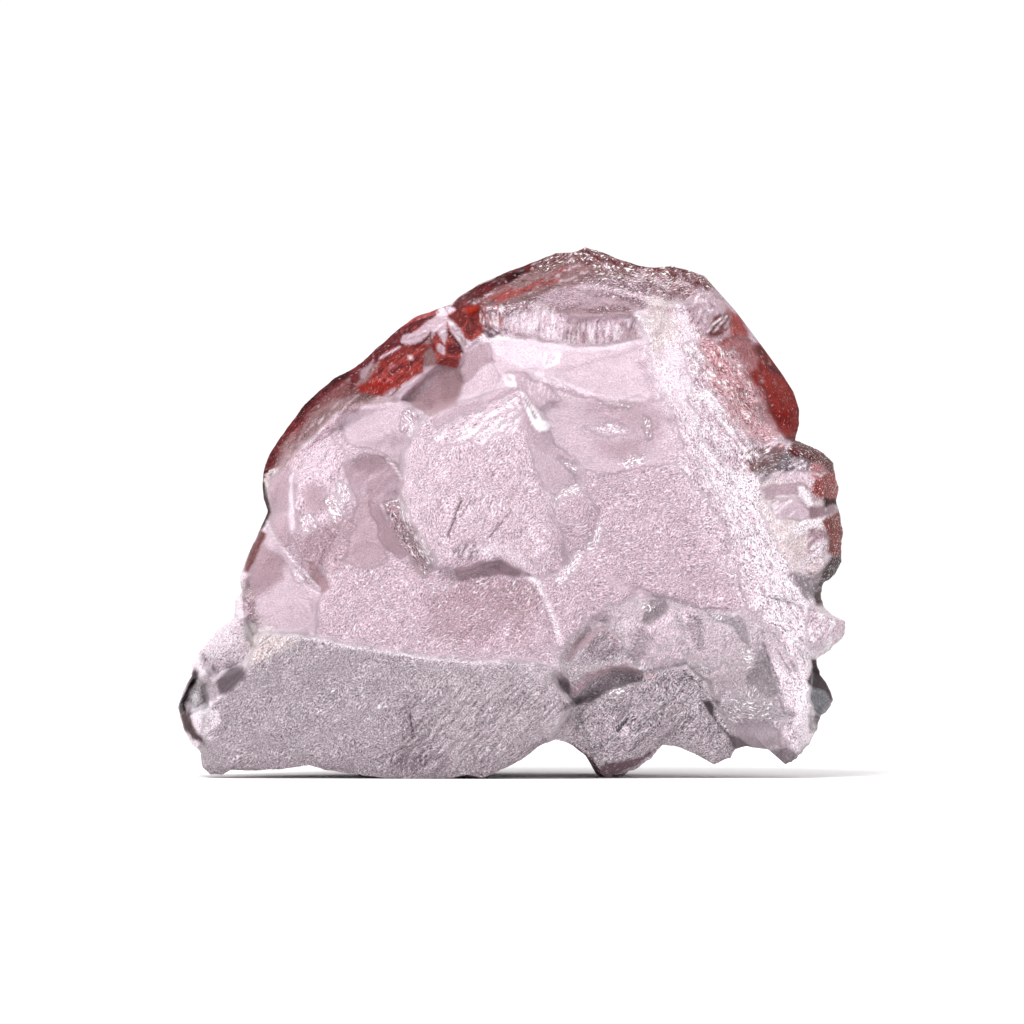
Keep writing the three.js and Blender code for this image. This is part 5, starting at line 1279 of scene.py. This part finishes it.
def paint_outside(places):
    """Colour, run and finish of the outside. Each layer covers the ones before it where its own noise,
    raised the more the higher and further right a place lies, comes above a level."""
    x, _, z = places.T
    height = (z - 30) / 30 + 0.3 * smooth((x - 14) / 20)
    _, facet = facets(places, MILK_FACETS, 84)
    tint = mix(linear(PALETTE["smoke"]), linear(PALETTE["soft pink"]), smooth(facet)[:, None])
    finish = np.tile(np.array(FINISHES["rubbly"], float), (len(x), 1))
    for colour, surface, amount in (
        ("pink brown", "speckled", rough(places, 11, 81, 5) + 0.7 * height + 0.05),
        ("red brown", "skinned", rough(places, 8, 82, 5) + 0.9 * height - 0.12),
        ("maroon", "skinned", rough(places, 7, 85, 5) + 0.9 * height - 0.2),
        ("dark maroon", "skin", rough(places, 3, 86, 4) + 0.5 * height - 0.35),
        ("brown", "crusty", 0.06 - abs(rough(places, 13, 87, 4))),
        ("milk", "crumbly", rough(places, 3, 88, 4) - 0.42),
    ):
        share = layer_share(amount)
        tint = mix(tint, linear(PALETTE[colour]), share)
        finish = mix(finish, np.array(FINISHES[surface], float), share)
    return tint, np.full(len(places), float(OUTSIDE_RUN)), finish


outside_tint, outside_run, outside_finish = paint_outside(np.concatenate([outside, pole]))
print("outside, mean tint:", outside_tint.mean(axis=0).round(2))

# %% [markdown]
# ## One closed mesh
#
# The front is a square grid, the outside a stack of rings with fewer and fewer points, as the faces there
# are plainer. Their shared points are stored once, at the rim, so the stone is one closed skin. Anything
# that would dip below the ground is pressed flat, which gives the facet that the stone rests on.

# %% Join the sheets
def front_faces():
    """Two triangles for each cell of the grid, cut along the diagonal that points away from the heart."""
    corner = np.arange((CELLS + 1) ** 2).reshape(CELLS + 1, CELLS + 1)
    a, b, c, d = corner[:-1, :-1], corner[:-1, 1:], corner[1:, 1:], corner[1:, :-1]
    low, left = np.indices(a.shape) < CELLS / 2
    rising = low == left
    first = np.stack([a, b, np.where(rising, c, d)], axis=-1)
    second = np.stack([np.where(rising, a, b), c, d], axis=-1)
    return np.concatenate([first.reshape(-1, 3), second.reshape(-1, 3)])


def band_faces(outer, inner):
    """Triangles between two rings of point numbers. The inner ring has as many points or half as many."""
    step = len(outer) // len(inner)
    start, end = outer[::step], np.roll(outer[::step], -1)
    inner_end = np.roll(inner, -1)
    if step == 1:
        first, second = np.stack([start, inner, inner_end], 1), np.stack([start, inner_end, end], 1)
        return np.concatenate([first, second])
    middle = outer[1::2]
    return np.concatenate([
        np.stack([start, inner, middle], 1),
        np.stack([middle, inner, inner_end], 1),
        np.stack([middle, inner_end, end], 1),
    ])


# %% Number the points and the faces
rim_count = 4 * CELLS
rim_numbers = np.zeros(rim_count, int)
on_rim = np.flatnonzero(ring == 1)
rim_numbers[np.round(turn[on_rim] * rim_count).astype(int) % rim_count] = on_rim
faces = [front_faces()]
outer, next_number = rim_numbers, len(front)
for turns, _ in rings:
    inner = np.arange(next_number, next_number + len(turns))
    faces.append(band_faces(outer, inner))
    outer, next_number = inner, next_number + len(turns)
faces.append(np.stack([outer, np.full(len(outer), next_number), np.roll(outer, -1)], 1))
faces = np.concatenate(faces)

points = np.concatenate([front, outside, pole])
tint = np.concatenate([front_tint, outside_tint])
run = np.concatenate([front_run, outside_run])
finish = np.concatenate([front_finish, outside_finish])
points[:, 1] += RIM_PLANE_Y
points = np.clip(points, STONE_LOW, STONE_HIGH)
print("stone:", len(points), "points,", len(faces), "triangles")

# %% Make the mesh and its attributes
mesh = bpy.data.meshes.new("broken_quartz")
mesh.from_pydata((points / 1000).tolist(), [], faces.tolist())
mesh.shade_smooth()


def store(name, kind, field, values):
    """Puts one value per point into the mesh, under a name that the material reads."""
    attribute = mesh.attributes.new(name, kind, "POINT")
    attribute.data.foreach_set(field, np.ascontiguousarray(values, dtype=np.float32).ravel())


store("tint", "FLOAT_COLOR", "color", np.column_stack([tint, np.ones(len(tint))]))
store("flow", "FLOAT_VECTOR", "vector", flow_of(points, run))
for column, name in enumerate(FINISH_PARTS):
    store(name, "FLOAT", "value", finish[:, column])
mesh.validate()
stone = bpy.data.objects.new("broken_quartz", mesh)
bpy.context.collection.objects.link(stone)
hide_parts("red_quartz")
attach(stone, "root")
print("closed mesh:", len(mesh.vertices), "points")

# %% [markdown]
# ## The material
#
# Milky quartz is clear quartz full of tiny cracks and bubbles, so light goes a few millimetres into it
# and comes out again, pink from the iron. Broken, it shows as sugary grains of a fifth of a millimetre,
# each a little tilted, some dark, some flashing. The flashing ones are painted highlights, white mixed into
# the colour. One shader does all of it: the mesh says where the stone is grainy, fibrous, glassy or
# skinned, and noise and cells in real millimetres draw what is too fine for the mesh.

# %% A helper for nodes
def add_node(tree, kind, inputs, **settings):
    """Adds a shader node. `inputs` gives a number, or a node or socket that feeds it, for each socket, by
    name or by place."""
    node = tree.nodes.new("ShaderNode" + kind)
    for name, value in settings.items():
        setattr(node, name, value)
    for key, value in inputs.items():
        named = [socket for socket in node.inputs if socket.enabled and socket.name == key]
        socket = named[0] if named else node.inputs[key]
        if isinstance(value, bpy.types.Node):
            value = next(output for output in value.outputs if output.enabled)
        if isinstance(value, bpy.types.NodeSocket):
            tree.links.new(value, socket)
        else:
            socket.default_value = value
    return node


# %% Broken milky quartz
BEND_SIZE, BEND_REACH = 3.5, 1.1  # mm, how the grain bends as it runs
GRAIN_LENGTH, GRAIN_WIDTH = 0.22, 0.15  # mm, the sugary grains; real ones are finer, this is what shows
STROKE_LENGTH, STROKE_WIDTH = 1.3, 0.38  # mm, ridges and scratches that run with the break
CLOUD_LENGTH, CLOUD_WIDTH = 5.0, 2.0  # mm, clouds in the milk
# the flashing chips are painted highlight: grains of this size are painted white, as if they caught the
# light
FLASH_LENGTH, FLASH_WIDTH = 0.6, 0.24  # mm, chips that flash white
FLAKE_SIZE = 0.7  # mm, flakes of the iron skin
BLACK_SKIN, PAINTED_GLINT_WHITE = "1E0608", "FFFDFE"
QUARTZ_IOR = 1.544
SCATTER_DEPTH = 0.0015  # m that light goes into the milk; less for green and blue than for red
RELIEF_DEPTH = 0.00015  # m, half a grain


def milky_quartz():
    """Milky quartz, broken: waxy where smooth, sugary where grainy, white and silky along fibres, glassy
    where clear, and dark under the iron skin. Its bright flashing grains are painted highlights."""
    material = bpy.data.materials.new("milky quartz, freshly broken, with an iron skin")
    material.use_nodes = True
    tree = material.node_tree
    tree.nodes.clear()
    stored = {"tint": "Color", "flow": "Vector", **dict.fromkeys(FINISH_PARTS, "Fac")}
    tint, flow, grain, fibre, shine, clear, skin, painted_glint = (
        add_node(tree, "Attribute", {}, attribute_name=name).outputs[output]
        for name, output in stored.items()
    )

    # patterns, all in mm along the grain, which bends a little as it runs
    bend = add_node(tree, "TexNoise", {"Vector": flow, "Scale": 1 / BEND_SIZE, "Detail": 0.0})
    reach = (BEND_REACH * 2,) * 3
    bent = add_node(tree, "VectorMath", {0: bend.outputs["Color"], 1: reach, 2: flow},
                    operation="MULTIPLY_ADD")
    patterns = {}
    for name, length, width, detail in (
        ("grains", GRAIN_LENGTH, GRAIN_WIDTH, 1.0),
        ("strokes", STROKE_LENGTH, STROKE_WIDTH, 3.0),
        ("clouds", CLOUD_LENGTH, CLOUD_WIDTH, 2.0),
        ("painted_flashes", FLASH_LENGTH, FLASH_WIDTH, 1.0),
    ):
        scale = (1 / length, 1 / width, 1 / width)
        place = add_node(tree, "VectorMath", {0: bent, 1: scale}, operation="MULTIPLY")
        look = {"Vector": place, "Scale": 1.0, "Detail": detail, "Roughness": 0.6}
        patterns[name] = add_node(tree, "TexNoise", look)
    grains, strokes, clouds, painted_flashes = patterns.values()

    # light worm-like ridges stand where a pattern crosses its middle value
    ridges = []
    for pattern, half_width in ((grains, 0.09), (strokes, 0.07)):
        offset = add_node(tree, "Math", {0: pattern, 1: 0.5}, operation="SUBTRACT")
        gap = add_node(tree, "Math", {0: offset}, operation="ABSOLUTE")
        ridges.append(add_node(tree, "MapRange", {0: gap, 1: half_width, 2: 0.0}))
    fine_ridge, long_ridge = ridges

    # the milk is unevenly dense: each pattern deepens it (less than 0) or pales it (more than 0)
    tone = add_node(tree, "MapRange", {0: clouds, 1: 0.3, 2: 0.7, 3: 0.84, 4: 0.97})
    for amount, pattern, start, end, strength in (
        (grain, grains, 0.48, 0.25, -0.55),
        (grain, strokes, 0.46, 0.25, -0.22),
        # the palest grains are partly white quartz and partly painted sparkle
        (grain, grains, 0.52, 0.72, 0.95),
        (grain, fine_ridge, 0.2, 1.0, 0.12),
        (grain, long_ridge, 0.3, 1.0, 0.22),
        (fibre, fine_ridge, 0.2, 1.0, 0.25),
        (fibre, long_ridge, 0.2, 1.0, 0.30),
        (fibre, strokes, 0.44, 0.28, -0.35),
        (skin, strokes, 0.46, 0.30, -0.5),
        (skin, long_ridge, 0.3, 1.0, 0.7),
    ):
        strong = add_node(tree, "MapRange", {0: pattern, 1: start, 2: end, 3: 0.0, 4: strength})
        tone = add_node(tree, "Math", {0: amount, 1: strong, 2: tone}, operation="MULTIPLY_ADD")
    colour = add_node(tree, "VectorMath", {0: tint, "Scale": tone}, operation="SCALE")

    # the skin is blackish in patches
    look = {"Vector": bent, "Scale": 1 / FLAKE_SIZE, "Detail": 2.0, "Roughness": 0.7}
    flakes = add_node(tree, "TexNoise", look)
    blackish = add_node(tree, "MapRange", {0: flakes, 1: 0.48, 2: 0.34, 3: 0.0, 4: 0.5})
    share = add_node(tree, "Math", {0: skin, 1: blackish}, operation="MULTIPLY")
    black = (*linear(BLACK_SKIN), 1.0)
    colour = add_node(tree, "Mix", {"Factor": share, "A": colour, "B": black}, data_type="RGBA")

    # painted highlights: the brightest flakes of a fine pattern are painted white, more of them the more the
    # surface flashes
    level = add_node(tree, "Math", {0: painted_glint, 1: 0.08, 2: painted_flashes}, operation="MULTIPLY_ADD")
    painted_sparks = add_node(tree, "MapRange", {0: level, 1: 0.65, 2: 0.72})
    share = add_node(tree, "Math", {0: painted_glint, 1: painted_sparks}, operation="MULTIPLY", use_clamp=True)
    white = (*linear(PAINTED_GLINT_WHITE), 1.0)
    colour = add_node(tree, "Mix", {"Factor": share, "A": colour, "B": white}, data_type="RGBA")

    # fine relief: grains, long ridges and flakes
    relief = add_node(tree, "Math", {0: grains, 1: grain}, operation="MULTIPLY")
    along = add_node(tree, "Math", {0: fibre, 1: grain, 2: 0.1}, operation="ADD")
    relief = add_node(tree, "Math", {0: long_ridge, 1: along, 2: relief}, operation="MULTIPLY_ADD")
    relief = add_node(tree, "Math", {0: flakes, 1: skin, 2: relief}, operation="MULTIPLY_ADD")
    bump = add_node(tree, "Bump", {"Height": relief, "Strength": 0.8, "Distance": RELIEF_DEPTH})

    # polish: grains and fibres scatter, clear quartz and the skin shine
    dull = add_node(tree, "Math", {0: shine, 1: -0.5, 2: 0.65}, operation="MULTIPLY_ADD")
    see_through = add_node(tree, "Math", {0: clear, 1: 0.5}, operation="MULTIPLY")
    milky = add_node(tree, "MapRange", {0: skin, 1: 0.0, 2: 0.6, 3: 0.6, 4: 0.0})
    surface = add_node(tree, "BsdfPrincipled", {
        "Base Color": colour, "Roughness": dull, "Normal": bump, "Transmission Weight": see_through,
        "IOR": QUARTZ_IOR, "Specular IOR Level": 0.06, "Subsurface Weight": milky,
        "Subsurface Radius": (1.0, 0.8, 0.85), "Subsurface Scale": SCATTER_DEPTH,
    })
    add_node(tree, "OutputMaterial", {"Surface": surface})
    return material


mesh.materials.append(milky_quartz())
print("material nodes:", len(mesh.materials[0].node_tree.nodes))

# %% [markdown]
# ## Floor, light and camera
#
# The stone stands on a plain pale floor, wide enough that its edge is lost in the white. A wide lamp
# above and in front gives soft light with a direction, and the pale world fills the shadows. The camera
# stands level with the middle of the stone and far off, so that it hardly narrows with distance.

# %% The floor
FLOOR_SIZE = 30  # metres; far larger than the camera sees, so that its edge is lost in the white


def pale_ground():
    """A flat square in the ground plane."""
    reach = FLOOR_SIZE / 2
    shape = bpy.data.meshes.new("pale_floor")
    corners = [(-reach, -reach, 0), (reach, -reach, 0), (reach, reach, 0), (-reach, reach, 0)]
    shape.from_pydata(corners, [], [(0, 1, 2, 3)])
    return bpy.data.objects.new("pale_floor", shape)


floor = pale_ground()
paper = bpy.data.materials.new("matt white card")  # a plain pale ground
paper.use_nodes = True
card = paper.node_tree.nodes["Principled BSDF"]
card.inputs["Base Color"].default_value = (*linear("FBFAFA"), 1.0)
card.inputs["Roughness"].default_value = 0.9
floor.data.materials.append(paper)
bpy.context.collection.objects.link(floor)
print("floor:", FLOOR_SIZE, "m square")

# %% Light
def area_lamp(name, place, aim, size, power):
    """A square lamp of so many metres and watts at a place, facing a point."""
    lamp = bpy.data.objects.new(name, bpy.data.lights.new(name, "AREA"))
    lamp.data.size, lamp.data.energy = size, power
    lamp.location = place
    lamp.rotation_euler = (Vector(aim) - Vector(place)).to_track_quat("-Z", "Y").to_euler()
    bpy.context.collection.objects.link(lamp)
    return lamp


area_lamp("soft lamp above", place=(-0.35, -0.6, 1.1), aim=(0, 0, 0.03), size=0.5, power=13)
world = bpy.data.worlds.new("pale room")
bpy.context.scene.world = world
world.use_nodes = True
room = world.node_tree.nodes["Background"]
room.inputs["Color"].default_value = (1, 1, 1, 1)
room.inputs["Strength"].default_value = 1.06
bpy.context.scene.view_settings.view_transform = "Standard"
print("lights:", len(bpy.data.lights), "and a pale world")

# %% Camera
CAMERA_DISTANCE = 1.2  # metres, in front of the rim plane
FRAME_WIDTH = 0.128  # metres that the camera sees across, at the rim plane
CAMERA_HEIGHT = 0.033  # metres, half the height of the stone
SENSOR_WIDTH = 36  # mm
camera = bpy.data.objects.new("camera", bpy.data.cameras.new("camera"))
camera.data.sensor_width = SENSOR_WIDTH
camera.data.lens = SENSOR_WIDTH * CAMERA_DISTANCE / FRAME_WIDTH
camera.location = (0, RIM_PLANE_Y / 1000 - CAMERA_DISTANCE, CAMERA_HEIGHT)
camera.rotation_euler = (np.pi / 2, 0, 0)
bpy.context.collection.objects.link(camera)
bpy.context.scene.camera = camera
print("lens:", camera.data.lens, "mm")
